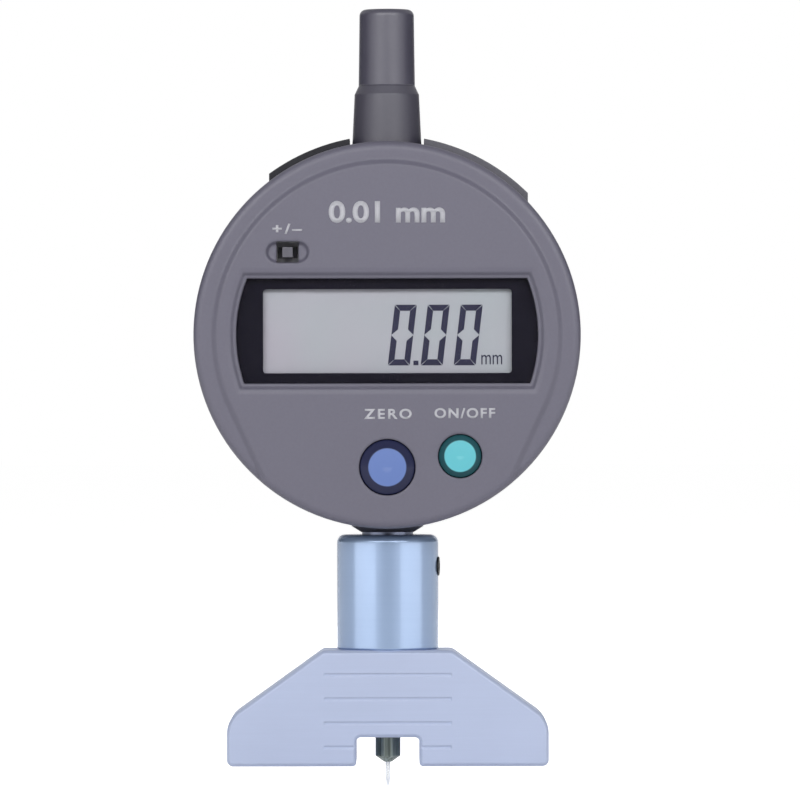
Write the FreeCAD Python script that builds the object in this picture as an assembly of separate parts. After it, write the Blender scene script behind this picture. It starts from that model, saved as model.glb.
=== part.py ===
import FreeCAD, Part
import math
import os

# Digital depth gauge: a round digital indicator whose stem is clamped in a T-shaped depth base.
# Millimetres. X runs to the right, Y into the scene (the dial faces -Y) and Z up.
# The origin is on the spindle's axis, in the plane of the base's measuring face.

# Depth base
base_width = 50.0
base_depth = 16.0
base_height = 18.0
base_side_height = 7.3
base_top_width = 20.2
base_shoulder_radius = 4.2
base_top_radius = 1.5
base_foot_radius = 1.0
base_edge_chamfer = 0.45
notch_width = 9.8
notch_height = 4.5
notch_radius = 0.7
notch_foot_radius = 0.6
line_width = 19.8
line_height = 0.45
line_depth = 0.12
line_top = 14.2
line_pitch = 3.75
line_count = 4
needle_bore = 5.0

# Sleeve that holds the indicator's stem
sleeve_diameter = 15.8
sleeve_height = 17.9
sleeve_round = 1.2
sleeve_foot_chamfer = 0.25
spigot_diameter = 12.0
spigot_length = 5.0
spigot_clearance = 0.01
sleeve_floor = 1.0
sleeve_floor_bore = 5.4
clamp_diameter = 3.0
clamp_height = 12.95
clamp_angle = 5.0
clamp_proud = 0.2
clamp_hex = 1.5
clamp_hex_depth = 1.3

# Stem and bushes
stem_diameter = 8.0
stem_bore = 5.0
stem_show = 0.4
stem_grip = 9.4
stem_clearance = 0.02
bush_clearance = 0.02
lower_bush_diameter = 6.0
lower_bush_length = 8.0
lower_bush_inset = 0.5
upper_bush_diameter = 7.0
upper_bush_length = 9.5

# Round body: front cover, case and back plate
body_radius = 30.0
case_inset = 0.3
body_front = 13.0
body_back = 12.0
panel_rise = 0.6
panel_inset = 3.6
panel_arc_end = 25.0
panel_slope = 0.8
rim_round = 1.2
cover_depth = 7.6
cover_wall = 1.8
case_wall = 2.2
case_floor = 2.4
seal_thickness = 0.4
seal_inset = 0.1
seal_width = 1.3
plate_inset = 0.7
plate_thickness = 1.6
plate_chamfer = 0.5
gasket_thickness = 0.4
gasket_width = 2.4
neck_reach = 0.7
neck_radius = 5.6
neck_flare = 1.8
neck_foot_radius = 4.15
neck_chamfer = 0.9

# Window, lens and display
window_height = 19.5
window_margin = 1.4
window_rise = 0.6
brow_width = 0.7
brow_depth = 0.12
bevel_width = 0.5
bevel_depth = 0.6
lip_width = 0.4
lens_sink = 0.18
lens_thickness = 1.2
lens_clearance = 0.1
film_thickness = 0.2
ledge_width = 1.2
ledge_thickness = 0.6
display_side_border = 4.15
display_height = 13.0
display_x = 0.04
display_rise = 0.57
display_corner = 0.5
lcd_margin = 1.75
lcd_thickness = 2.0
lcd_clearance = 0.1
lcd_lip = 0.2
lcd_lip_margin = 0.75
lcd_frame_wall = 1.2
strip_height = 1.5

# Boards
board_thickness = 1.0
board_clearance = 0.8
dome_height = 0.25
dome_radius = 2.0
dome_flat_radius = 0.8
sensor_board_width = 28.0
sensor_board_height = 12.0
sensor_board_thickness = 0.8
sensor_gap = 0.3
sensor_post_x = 12.0
sensor_post_radius = 2.0
board_link_width = 12.0
board_link_height = 2.5
chip_size = 9.0
chip_height = 1.2
chip_x = -10.5
chip_drop = 13.0

# Buttons and sign switch
button_travel = 0.5
button_rise = 0.9
button_gap = 0.15
button_crown = 0.15
button_flange = 0.7
button_flange_thickness = 0.8
button_seat_gap = 0.05
button_lip = 0.15
plunger_radius = 1.2
zero_rim_gap = 7.7
zero_radius = 4.22
zero_top_radius = 3.0
power_rim_gap = 6.29
power_angle = -59.08
power_radius = 3.27
power_top_radius = 2.5
switch_side_gap = 9.62
switch_window_gap = 2.45
dish_width = 6.8
dish_height = 3.4
dish_depth = 0.8
dish_slope = 0.5
knob_width = 1.6
knob_height = 1.6
knob_sink = 0.3
knob_travel = 0.6
knob_hole_margin = 0.3
knob_hole_height = 3.65
slider_margin = 0.7
slider_thickness = 1.2
switch_wall = 0.4
switch_room = 0.1

# Spindle, carrier, scale and needle
spindle_diameter = 4.0
spindle_travel = 12.0
spindle_foot = 16.0
spindle_overrun = 0.5
spindle_chamfer = 0.3
holder_diameter = 3.9
holder_corner = 1.34
holder_nose = 0.39
holder_nose_radius = 0.6
holder_stud_diameter = 2.5
holder_stud_length = 5.5
needle_diameter = 0.8
needle_reach = 3.3
needle_taper = 1.2
needle_tip_radius = 0.12
needle_root = 8.0
press_clearance = 0.01
stop_thickness = 2.5
stop_clearance = 0.3
carrier_width = 8.0
carrier_height = 20.0
carrier_front = 2.5
carrier_back = 4.0
scale_thickness = 1.0
scale_width = 8.0
scale_headroom = 0.5
guide_pin_diameter = 2.0
guide_pin_height = 5.2
guide_pin_sink = 1.8
guide_clearance = 0.04
guide_rail_width = 2.0
guide_rail_depth = 3.2
guide_rail_length = 24.0
arm_length = 5.0
arm_height = 4.0
arm_thickness = 2.8
spring_x = -7.0
spring_radius = 1.9
spring_wire = 0.5
spring_gap = 0.2
spring_eye_gap = 0.15
spring_pin_radius = 0.7
spring_post_rise = 1.7
spring_pin_reach = 2.4

# Top end: collar and cap over the spindle
seat_rise = 0.1
top_boss_depth = 3.3
top_boss_radius = 5.5
collar_height = 9.2
collar_foot_radius = 5.4
collar_shoulder_radius = 5.03
collar_top_radius = 4.37
collar_chamfer = 1.4
collar_spigot_radius = 3.5
collar_spigot_length = 3.0
collar_bore = 5.0
collar_roof_gap = 0.3
cap_top_radius = 4.25
cap_foot_radius = 4.4
cap_round = 1.0
cap_bore = 5.8
cap_headroom = 1.0
cap_roof = 1.4
cap_clearance = 0.03
cap_spigot_gap = 0.2

# Raised covers on the body's shoulders: battery tray on the right, connector cover on the left
band_rise = 1.45
band_gap = 0.05
band_front_gap = 0.5
band_back_inset = 2.0
band_collar_gap = 0.4
tray_end_angle = 44.8
tray_angle = 62.0
tray_wall = 0.7
tray_floor = 1.0
tray_clearance = 0.15
tray_front = -1.6
tray_rib = 1.2
battery_diameter = 11.6
battery_thickness = 5.4
battery_fit = 0.1
battery_inset = 8.2
battery_cap_radius = 4.7
battery_cap_height = 0.4
contact_width = 2.4
contact_thickness = 0.25
contact_slot = 3.4
contact_foot = 3.0
contact_tray_gap = 1.1
contact_bend = 1.0
cover_end_angle = 36.1
cover_angle = 112.5
connector_width = 9.0
connector_depth = 4.8
connector_wall = 0.6
connector_length = 6.0
connector_clearance = 0.3
plug_length = 2.0

# Screws
screw_radius = 1.0
screw_clearance = 0.1
screw_head_radius = 1.8
screw_head_height = 1.4
case_boss_radius = 2.2
case_screw_bite = 3.2
thread_room = 0.3
head_room = 0.2
board_boss_gap = 0.3
small_screw_radius = 0.8
small_head_radius = 1.4
small_head_height = 0.7
small_screw_bite = 2.6
upper_boss_gap = 2.36
upper_boss_angle = 31.67
lower_boss_gap = 3.0
lower_boss_angle = -38.04
board_post_radius = 1.7
side_post_gap = 3.07
side_post_angle = -26.46
top_post_gap = 6.7
plate_screw_gap = 4.5
plate_screw_angles = [60.0, 120.0, 240.0, 300.0]
plate_head_radius = 1.9
plate_head_height = 1.0
plate_screw_bite = 1.8
socket_room = 0.5

# How far a cutting tool runs past the face that it opens
through = 1.0

# Radii and places round the body worked out from the sizes above
case_radius = body_radius - case_inset
cover_cavity_radius = body_radius - cover_wall
case_cavity_radius = case_radius - case_wall
panel_radius = body_radius - panel_inset
window_arc_radius = panel_radius - window_margin
window_inset = brow_width + bevel_width + lip_width
display_width = 2.0 * (window_arc_radius - window_inset - display_side_border)
plate_radius = case_radius - plate_inset
plate_screw_circle = plate_radius - plate_screw_gap
battery_radial = case_radius - battery_inset
band_radius = case_radius + band_rise
tray_end_x = band_radius * math.sin(math.radians(tray_end_angle))
cover_end_x = -band_radius * math.sin(math.radians(cover_end_angle))
switch_x = switch_side_gap - window_arc_radius
switch_rise = window_rise + window_height / 2.0 + switch_window_gap
zero_drop = cover_cavity_radius - zero_rim_gap
power_x = (cover_cavity_radius - power_rim_gap) * math.cos(math.radians(power_angle))
power_rise = (cover_cavity_radius - power_rim_gap) * math.sin(math.radians(power_angle))

# Heights worked out from the sizes above
sleeve_top_z = base_height + sleeve_height
stem_foot_z = base_height + sleeve_floor
neck_z = sleeve_top_z + stem_show
body_z = neck_z + neck_reach + body_radius
stem_top_z = neck_z + stem_grip
seat_z = body_z + case_radius + seat_rise
upper_bush_z = seat_z - top_boss_depth
upper_bush_top_z = upper_bush_z + upper_bush_length
spindle_top_z = upper_bush_top_z + spindle_overrun
collar_top_z = seat_z + collar_height
cap_roof_z = spindle_top_z + spindle_travel + cap_headroom
cap_top_z = cap_roof_z + cap_roof
stop_top_z = stem_top_z + stop_thickness
carrier_z = stop_top_z + stop_clearance
carrier_top_z = carrier_z + carrier_height
scale_top_z = upper_bush_z - spindle_travel - scale_headroom
sensor_z = (carrier_z + spindle_travel + scale_top_z) / 2.0
spring_eye_top_z = carrier_top_z - arm_height / 2.0
spring_eye_low_z = carrier_z + spring_post_rise
display_z = body_z + display_rise
zero_z = body_z - zero_drop
power_z = body_z + power_rise
switch_z = body_z + switch_rise

# Depths worked out from the sizes above
panel_y = -body_front
ring_y = panel_y + panel_rise
lip_y = panel_y + brow_depth + bevel_depth
lens_y = lip_y + lens_sink
film_y = lens_y + lens_thickness
ledge_y = film_y + film_thickness
cover_inner_y = ledge_y + ledge_thickness
cover_rear_y = panel_y + cover_depth
case_front_y = cover_rear_y + seal_thickness
plate_y = body_back - plate_thickness
case_back_y = plate_y - gasket_thickness
floor_y = case_back_y - case_floor
board_y = cover_rear_y - board_thickness
lcd_y = cover_inner_y + lcd_lip
scale_y = -carrier_front - scale_thickness
sensor_back_y = scale_y - sensor_gap
sensor_front_y = sensor_back_y - sensor_board_thickness
spring_y = floor_y - spring_gap - spring_radius
arm_back_y = spring_y - spring_radius - spring_gap
hook_y = arm_back_y - arm_thickness / 2.0
rail_y = floor_y - guide_rail_depth
tray_back = tray_front + battery_thickness + 2.0 * battery_fit + tray_floor
band_front_y = case_front_y + band_front_gap
band_back_y = case_back_y - band_back_inset
tray_half = battery_diameter / 2.0 + battery_fit + tray_wall


def point(x, y, z):
    return FreeCAD.Vector(x, y, z)


def round_place(radius, angle):
    """A place on the dial as (x, height over the body's centre), from a radius and an angle."""
    return radius * math.cos(math.radians(angle)), radius * math.sin(math.radians(angle))


def case_boss_places():
    upper = round_place(case_cavity_radius - upper_boss_gap, upper_boss_angle)
    lower = round_place(case_cavity_radius - lower_boss_gap, lower_boss_angle)
    return [upper, (-upper[0], upper[1]), lower, (-lower[0], lower[1])]


def board_post_places():
    side = round_place(cover_cavity_radius - side_post_gap, side_post_angle)
    return [(0.0, cover_cavity_radius - top_post_gap), side, (-side[0], side[1])]


def outward(shape):
    if shape.Volume < 0:
        shape.reverse()
    return shape


def box(x0, x1, y0, y1, z0, z1):
    return Part.makeBox(x1 - x0, y1 - y0, z1 - z0, point(x0, y0, z0))


def rod_y(x, z, radius, y0, y1):
    return Part.makeCylinder(radius, y1 - y0, point(x, y0, z), point(0, 1, 0))


def rod_z(radius, z0, z1):
    return Part.makeCylinder(radius, z1 - z0, point(0, 0, z0), point(0, 0, 1))


def disc(radius, y0, y1):
    return rod_y(0.0, body_z, radius, y0, y1)


def fused(shapes):
    return shapes[0].multiFuse(shapes[1:]).removeSplitter()


def line(a, b):
    return Part.LineSegment(a, b).toShape()


def arc(a, middle, b):
    return Part.Arc(a, middle, b).toShape()


def turned_z(corners):
    """A turned piece: corners are (radius, height) pairs, turned about the spindle's axis."""
    points = [point(r, 0, z) for r, z in corners]
    face = Part.Face(Part.makePolygon(points + points[:1]))
    return outward(face.revolve(point(0, 0, 0), point(0, 0, 1), 360))


def turned_edges(edges):
    face = Part.Face(Part.Wire(edges))
    return outward(face.revolve(point(0, 0, 0), point(0, 0, 1), 360))


def turned_y(corners, x, z):
    """A turned piece on an axis that runs front to back: corners are (radius, y) pairs."""
    points = [point(x + r, y, z) for r, y in corners]
    face = Part.Face(Part.makePolygon(points + points[:1]))
    return outward(face.revolve(point(x, 0, z), point(0, 1, 0), 360))


def swung(shape, angle):
    """Turns a shape built at the top of the body to an angle measured up from the right."""
    copy = shape.copy()
    copy.rotate(point(0, 0, body_z), point(0, 1, 0), 90.0 - angle)
    return copy


def strip(corners, width):
    """A bent strip at the top of the body: corners are (radial, y) pairs, width is along X."""
    points = [point(-width / 2.0, y, body_z + r) for r, y in corners]
    face = Part.Face(Part.makePolygon(points + points[:1]))
    return outward(face.extrude(point(width, 0, 0)))


def edges_along_y(shape):
    found = []
    for edge in shape.Edges:
        if isinstance(edge.Curve, Part.Line) and abs(edge.tangentAt(edge.FirstParameter).y) > 0.999:
            found.append(edge)
    return found


def window_wire(inset, y):
    """The window's outline: level top and bottom, and ends that follow the round body."""
    radius = window_arc_radius - inset
    top = window_rise + window_height / 2.0 - inset
    low = window_rise - window_height / 2.0 + inset
    top_x = math.sqrt(radius ** 2 - top ** 2)
    low_x = math.sqrt(radius ** 2 - low ** 2)
    corners = [
        point(-top_x, y, body_z + top),
        point(top_x, y, body_z + top),
        point(low_x, y, body_z + low),
        point(-low_x, y, body_z + low),
    ]
    return Part.Wire([
        line(corners[0], corners[1]),
        arc(corners[1], point(radius, y, body_z), corners[2]),
        line(corners[2], corners[3]),
        arc(corners[3], point(-radius, y, body_z), corners[0]),
    ])


def window_prism(inset, y0, y1):
    return outward(Part.Face(window_wire(inset, y0)).extrude(point(0, y1 - y0, 0)))


def oblong_wire(x, z, width, height, y):
    reach = (width - height) / 2.0
    half = height / 2.0
    a = point(x - reach, y, z + half)
    b = point(x + reach, y, z + half)
    c = point(x + reach, y, z - half)
    d = point(x - reach, y, z - half)
    return Part.Wire([
        line(a, b),
        arc(b, point(x + reach + half, y, z), c),
        line(c, d),
        arc(d, point(x - reach - half, y, z), a),
    ])


def face_box(x, z, width, height, y0, y1):
    return box(x - width / 2.0, x + width / 2.0, y0, y1, z - height / 2.0, z + height / 2.0)


def base_block():
    half = base_width / 2.0
    top = base_top_width / 2.0
    front = -base_depth / 2.0
    corners = [
        (-half, 0.0), (half, 0.0), (half, base_side_height),
        (top, base_height), (-top, base_height), (-half, base_side_height),
    ]
    points = [point(x, front, z) for x, z in corners]
    block = outward(Part.Face(Part.makePolygon(points + points[:1])).extrude(point(0, base_depth, 0)))

    def corner_edges(shape, x, z):
        return [e for e in edges_along_y(shape)
                if abs(abs(e.Vertexes[0].X) - x) < 0.01 and abs(e.Vertexes[0].Z - z) < 0.01]

    block = block.makeFillet(base_shoulder_radius, corner_edges(block, half, base_side_height))
    block = block.makeFillet(base_top_radius, corner_edges(block, top, base_height))
    block = block.makeFillet(base_foot_radius, corner_edges(block, half, 0.0))
    notch = face_box(0.0, 0.0, notch_width, 2.0 * notch_height, front - through, -front + through)
    notch = notch.makeFillet(notch_radius, edges_along_y(notch))
    block = block.cut(notch)
    block = block.makeFillet(notch_foot_radius, corner_edges(block, notch_width / 2.0, 0.0))
    outline = [e for face in block.Faces for e in face.OuterWire.Edges
               if abs(abs(face.CenterOfMass.y) + front) < 0.001 and abs(face.normalAt(0, 0).y) > 0.999]
    block = block.makeChamfer(base_edge_chamfer, outline)
    seat_radius = spigot_diameter / 2.0 + spigot_clearance
    block = block.cut(rod_z(seat_radius, base_height - spigot_length, base_height + through))
    block = block.cut(rod_z(needle_bore / 2.0, 0.0, base_height))
    for i in range(line_count):
        z = line_top - i * line_pitch
        groove = face_box(0.0, z, line_width, line_height, front - through, front + line_depth)
        block = block.cut(groove)
    return block


def clamp_place(shape):
    """Lays a piece built along Z onto the clamp screw's axis, with Z pointing out of the sleeve."""
    placed = shape.copy()
    placed.rotate(point(0, 0, 0), point(0, 1, 0), 90)
    placed.rotate(point(0, 0, 0), point(0, 0, 1), -clamp_angle)
    placed.translate(point(0, 0, base_height + clamp_height))
    return placed


def base_sleeve():
    radius = sleeve_diameter / 2.0
    body = rod_z(radius, base_height, sleeve_top_z)
    rim = [e for e in body.Edges if abs(e.BoundBox.ZMin - sleeve_top_z) < 0.001 and e.Closed]
    body = body.makeFillet(sleeve_round, rim)
    foot = [e for e in body.Edges if e.BoundBox.ZMax < base_height + 0.001 and e.Closed]
    body = body.makeChamfer(sleeve_foot_chamfer, foot)
    sleeve = body.fuse(rod_z(spigot_diameter / 2.0, base_height - spigot_length, base_height))
    sleeve = sleeve.cut(rod_z(stem_diameter / 2.0 + stem_clearance, stem_foot_z, sleeve_top_z + through))
    sleeve = sleeve.cut(rod_z(sleeve_floor_bore / 2.0, 0.0, sleeve_top_z))
    sleeve = sleeve.cut(clamp_place(rod_z(clamp_diameter / 2.0 + press_clearance, 0.0, radius + through)))
    return sleeve.removeSplitter()


def clamp_screw():
    inner = stem_diameter / 2.0 + stem_clearance
    outer = sleeve_diameter / 2.0 + clamp_proud
    screw = rod_z(clamp_diameter / 2.0, inner, outer)
    rim = [e for e in screw.Edges if e.Closed]
    screw = screw.makeChamfer(clamp_proud / 2.0, rim)
    corner = clamp_hex / math.sqrt(3.0)
    corners = [point(corner * math.cos(math.radians(60 * i)), corner * math.sin(math.radians(60 * i)), outer)
               for i in range(6)]
    socket = Part.Face(Part.makePolygon(corners + corners[:1])).extrude(point(0, 0, -clamp_hex_depth))
    return clamp_place(screw.cut(outward(socket)))


def stem():
    tube = rod_z(stem_diameter / 2.0, stem_foot_z, stem_top_z)
    tube = tube.cut(rod_z(stem_bore / 2.0, stem_foot_z, stem_top_z))
    seat_top = stem_foot_z + lower_bush_inset + lower_bush_length
    return tube.cut(rod_z(lower_bush_diameter / 2.0, stem_foot_z, seat_top))


def bush(diameter, z0, z1):
    outer = rod_z(diameter / 2.0, z0, z1)
    return outer.cut(rod_z(spindle_diameter / 2.0 + bush_clearance, z0, z1))


def lower_bush():
    z = stem_foot_z + lower_bush_inset
    return bush(lower_bush_diameter, z, z + lower_bush_length)


def upper_bush():
    return bush(upper_bush_diameter, upper_bush_z, upper_bush_top_z)


def rounded_disc(radius, y0, y1, rounding):
    body = disc(radius, y0, y1)
    rim = [e for e in body.Edges if e.Closed and abs(e.BoundBox.YMin - y0) < 0.001]
    return body.makeFillet(rounding, rim)


def panel_outline(radius, y):
    """An arc over the top whose sides run on as tangents to the body's rim."""
    start = math.radians(-panel_arc_end)
    meet = start - math.acos(radius / body_radius)

    def polar(reach, angle, mirror=1.0):
        return point(mirror * reach * math.cos(angle), y, body_z + reach * math.sin(angle))

    right = polar(radius, start)
    left = polar(radius, start, -1.0)
    low_right = polar(body_radius, meet)
    low_left = polar(body_radius, meet, -1.0)
    return Part.Wire([
        arc(right, point(0, y, body_z + radius), left),
        line(left, low_left),
        arc(low_left, point(0, y, body_z - body_radius), low_right),
        line(low_right, right),
    ])


def panel():
    """The raised face, with a sloping step down to the ring around it."""
    foot = panel_outline(panel_radius + panel_slope, ring_y)
    step = outward(Part.makeLoft([panel_outline(panel_radius, panel_y), foot], True, True))
    root = outward(Part.Face(foot).extrude(point(0, rim_round, 0)))
    return step.fuse(root).common(rounded_disc(body_radius, panel_y, ring_y + 3.0 * rim_round, rim_round))


def window_recess():
    """The cut for the window: a soft brow, a steep bevel, a flat lip and a straight wall to the seat."""
    steps = [
        (0.0, panel_y - through), (0.0, panel_y), (brow_width, panel_y + brow_depth),
        (brow_width + bevel_width, lip_y), (window_inset, lip_y), (window_inset, ledge_y),
    ]
    turned = turned_y([(0.0, steps[0][1])] + [(window_arc_radius - inset, y) for inset, y in steps]
                      + [(0.0, steps[-1][1])], 0.0, body_z)
    half = window_height / 2.0
    middle = body_z + window_rise
    section = [point(-body_radius, y, middle + half - inset) for inset, y in steps]
    section += [point(-body_radius, y, middle - half + inset) for inset, y in reversed(steps)]
    bar = outward(Part.Face(Part.makePolygon(section + section[:1])).extrude(point(2.0 * body_radius, 0, 0)))
    return turned.common(bar)


def front_cover():
    shell = rounded_disc(body_radius, ring_y, cover_rear_y, rim_round).fuse(panel())
    shell = shell.cut(disc(cover_cavity_radius, cover_inner_y, cover_rear_y))
    bosses = []
    for x, rise in case_boss_places():
        bosses.append(rod_y(x, body_z + rise, case_boss_radius, cover_inner_y, cover_rear_y))
    for x, rise in board_post_places():
        bosses.append(rod_y(x, body_z + rise, board_post_radius, cover_inner_y, board_y))
    shell = fused([shell] + bosses)
    cuts = [window_recess(), window_prism(window_inset + ledge_width, ledge_y, cover_inner_y)]
    back = cover_inner_y + through
    cuts.append(rod_y(0.0, zero_z, zero_radius + button_gap, panel_y - through, back))
    cuts.append(rod_y(power_x, power_z, power_radius + button_gap, panel_y - through, back))
    dish = Part.makeLoft([
        oblong_wire(switch_x, switch_z, dish_width, dish_height, panel_y),
        oblong_wire(switch_x, switch_z, dish_width - 2 * dish_slope, dish_height - 2 * dish_slope,
                    panel_y + dish_depth),
    ], True)
    cuts.append(outward(dish))
    hole_width = knob_width + 2.0 * (knob_travel + knob_hole_margin)
    cuts.append(face_box(switch_x, switch_z, hole_width, knob_hole_height, panel_y + dish_depth / 4.0, back))
    for x, rise in case_boss_places():
        z = body_z + rise
        cuts.append(rod_y(x, z, screw_radius, cover_rear_y - case_screw_bite - thread_room, cover_rear_y))
    for x, rise in board_post_places():
        cuts.append(rod_y(x, body_z + rise, small_screw_radius, board_y - small_screw_bite, board_y))
    for tool in cuts:
        shell = shell.cut(tool)
    return shell


def lens():
    return window_prism(window_inset + lens_clearance, lens_y, film_y)


def display_opening(y0, y1):
    opening = face_box(display_x, display_z, display_width, display_height, y0, y1)
    return opening.makeFillet(display_corner, edges_along_y(opening))


def lens_film():
    film = window_prism(window_inset + lens_clearance, film_y, ledge_y)
    return film.cut(display_opening(film_y - through, ledge_y + through))


def lcd_frame():
    width = display_width + 2.0 * lcd_margin
    height = display_height + 2.0 * lcd_margin
    wall = 2.0 * lcd_frame_wall
    frame = face_box(display_x, display_z, width + wall, height + wall, cover_inner_y, board_y)
    lip = 2.0 * lcd_lip_margin
    frame = frame.cut(face_box(display_x, display_z, width, height, lcd_y, board_y))
    opening = face_box(display_x, display_z, display_width + lip, display_height + lip, cover_inner_y, lcd_y)
    return frame.cut(opening)


def lcd_panel():
    width = display_width + 2.0 * (lcd_margin - lcd_clearance)
    height = display_height + 2.0 * (lcd_margin - lcd_clearance)
    return face_box(display_x, display_z, width, height, lcd_y, lcd_y + lcd_thickness)


def lcd_contact_strips():
    strips = []
    offset = display_height / 2.0 + lcd_margin - lcd_clearance - strip_height / 2.0
    for side in (-1.0, 1.0):
        strips.append(face_box(display_x, display_z + side * offset, display_width, strip_height,
                               lcd_y + lcd_thickness, board_y))
    return Part.makeCompound(strips)


def main_board():
    board = disc(cover_cavity_radius - board_clearance, board_y, cover_rear_y)
    for x, rise in case_boss_places():
        board = board.cut(rod_y(x, body_z + rise, case_boss_radius + board_boss_gap, board_y, cover_rear_y))
    hole = small_screw_radius + screw_clearance
    for x, rise in board_post_places():
        board = board.cut(rod_y(x, body_z + rise, hole, board_y, cover_rear_y))
    return board


def headed_screw(x, z, radius, head_radius, head_height, tip_y, seat_y):
    """A screw along Y whose head lies behind seat_y and whose tip is at tip_y."""
    shank = rod_y(x, z, radius - press_clearance, tip_y, seat_y)
    return fused([shank, rod_y(x, z, head_radius, seat_y, seat_y + head_height)])


def board_screws():
    screws = []
    for x, rise in board_post_places():
        screws.append(headed_screw(x, body_z + rise, small_screw_radius, small_head_radius,
                                   small_head_height, board_y - small_screw_bite + head_room, cover_rear_y))
    return Part.makeCompound(screws)


def dome(x, z):
    corners = [(0.0, board_y), (0.0, board_y - dome_height), (dome_flat_radius, board_y - dome_height),
               (dome_radius, board_y)]
    return turned_y(corners, x, z)


def key_domes():
    return Part.makeCompound([dome(0.0, zero_z), dome(power_x, power_z)])


def processor_chip():
    back = cover_rear_y + chip_height
    return face_box(chip_x, body_z - chip_drop, chip_size, chip_size, cover_rear_y, back)


def board_link():
    z = sensor_z + sensor_board_height / 2.0 - board_link_height
    return face_box(0.0, z, board_link_width, board_link_height, cover_rear_y, sensor_front_y)


def sensor_board():
    board = face_box(0.0, sensor_z, sensor_board_width, sensor_board_height, sensor_front_y, sensor_back_y)
    for side in (-1.0, 1.0):
        board = board.cut(rod_y(side * sensor_post_x, sensor_z, small_screw_radius + screw_clearance,
                                sensor_front_y, sensor_back_y))
    return board


def sensor_screws():
    screws = []
    for side in (-1.0, 1.0):
        shank = rod_y(side * sensor_post_x, sensor_z, small_screw_radius - press_clearance,
                      sensor_front_y, sensor_back_y + small_screw_bite)
        head = rod_y(side * sensor_post_x, sensor_z, small_head_radius,
                     sensor_front_y - small_head_height, sensor_front_y)
        screws.append(fused([shank, head]))
    return Part.makeCompound(screws)


def button(x, z, radius, top_radius):
    """A push button: crowned top, sloping flank, shank in the cover, flange and plunger behind it."""
    top = panel_y - button_rise
    front = cover_inner_y + button_seat_gap
    back = front + button_flange_thickness
    tip = board_y - dome_height - button_travel - button_seat_gap
    shoulder = panel_y + button_lip
    corners = [
        point(x, tip, z), point(x + plunger_radius, tip, z),
        point(x + plunger_radius, back, z), point(x + radius + button_flange, back, z),
        point(x + radius + button_flange, front, z), point(x + radius, front, z),
        point(x + radius, shoulder, z), point(x + top_radius, top, z),
    ]
    edges = [line(a, b) for a, b in zip(corners[:-1], corners[1:])]
    crown = point(x, top - button_crown, z)
    ball = (top_radius ** 2 + button_crown ** 2) / (2.0 * button_crown)
    half_turn = math.asin(top_radius / ball) / 2.0
    middle = point(x + ball * math.sin(half_turn), crown.y + ball * (1.0 - math.cos(half_turn)), z)
    edges.append(arc(corners[-1], middle, crown))
    edges.append(line(crown, corners[0]))
    face = Part.Face(Part.Wire(edges))
    return outward(face.revolve(point(x, 0, z), point(0, 1, 0), 360))


def zero_button():
    return button(0.0, zero_z, zero_radius, zero_top_radius)


def power_button():
    return button(power_x, power_z, power_radius, power_top_radius)


def sign_switch():
    back = board_y - switch_wall - switch_room
    front = back - slider_thickness
    post = face_box(switch_x, switch_z, knob_width, knob_height, panel_y + knob_sink, front)
    margin = 2.0 * slider_margin
    slider = face_box(switch_x, switch_z, knob_width + margin, knob_height + margin, front, back)
    return fused([post, slider])


def switch_body():
    back = board_y - switch_wall
    front = back - slider_thickness - 2.0 * switch_room
    room = 2.0 * switch_room
    width = knob_width + 2.0 * (slider_margin + knob_travel) + room
    height = knob_height + 2.0 * slider_margin + room
    shell = face_box(switch_x, switch_z, width + 2.0 * switch_wall, height + 2.0 * switch_wall,
                     front - switch_wall, board_y)
    shell = shell.cut(face_box(switch_x, switch_z, width, height, front, back))
    return shell.cut(face_box(switch_x, switch_z, knob_width + 2.0 * knob_travel + room, knob_height + room,
                              front - switch_wall, front))


def case_seal():
    outer = case_radius - seal_inset
    return disc(outer, cover_rear_y, case_front_y).cut(disc(outer - seal_width, cover_rear_y, case_front_y))


def neck():
    """The turned neck under the case that takes the stem, with a hollow flare into the round body."""
    root = neck_z + neck_chamfer
    wide = neck_radius + neck_flare
    corner = neck_flare * math.sqrt(0.5)
    foot = point(neck_radius, 0, root)
    shoulder = point(wide, 0, root + neck_flare)
    edges = [
        line(point(0, 0, neck_z), point(neck_foot_radius, 0, neck_z)),
        line(point(neck_foot_radius, 0, neck_z), foot),
        arc(foot, point(wide - corner, 0, root + corner), shoulder),
        line(shoulder, point(wide, 0, stem_top_z)),
        line(point(wide, 0, stem_top_z), point(0, 0, stem_top_z)),
        line(point(0, 0, stem_top_z), point(0, 0, neck_z)),
    ]
    turned = turned_edges(edges)
    room = box(-body_radius, body_radius, case_front_y, case_back_y, neck_z, stem_top_z)
    return turned.common(room)


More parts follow.
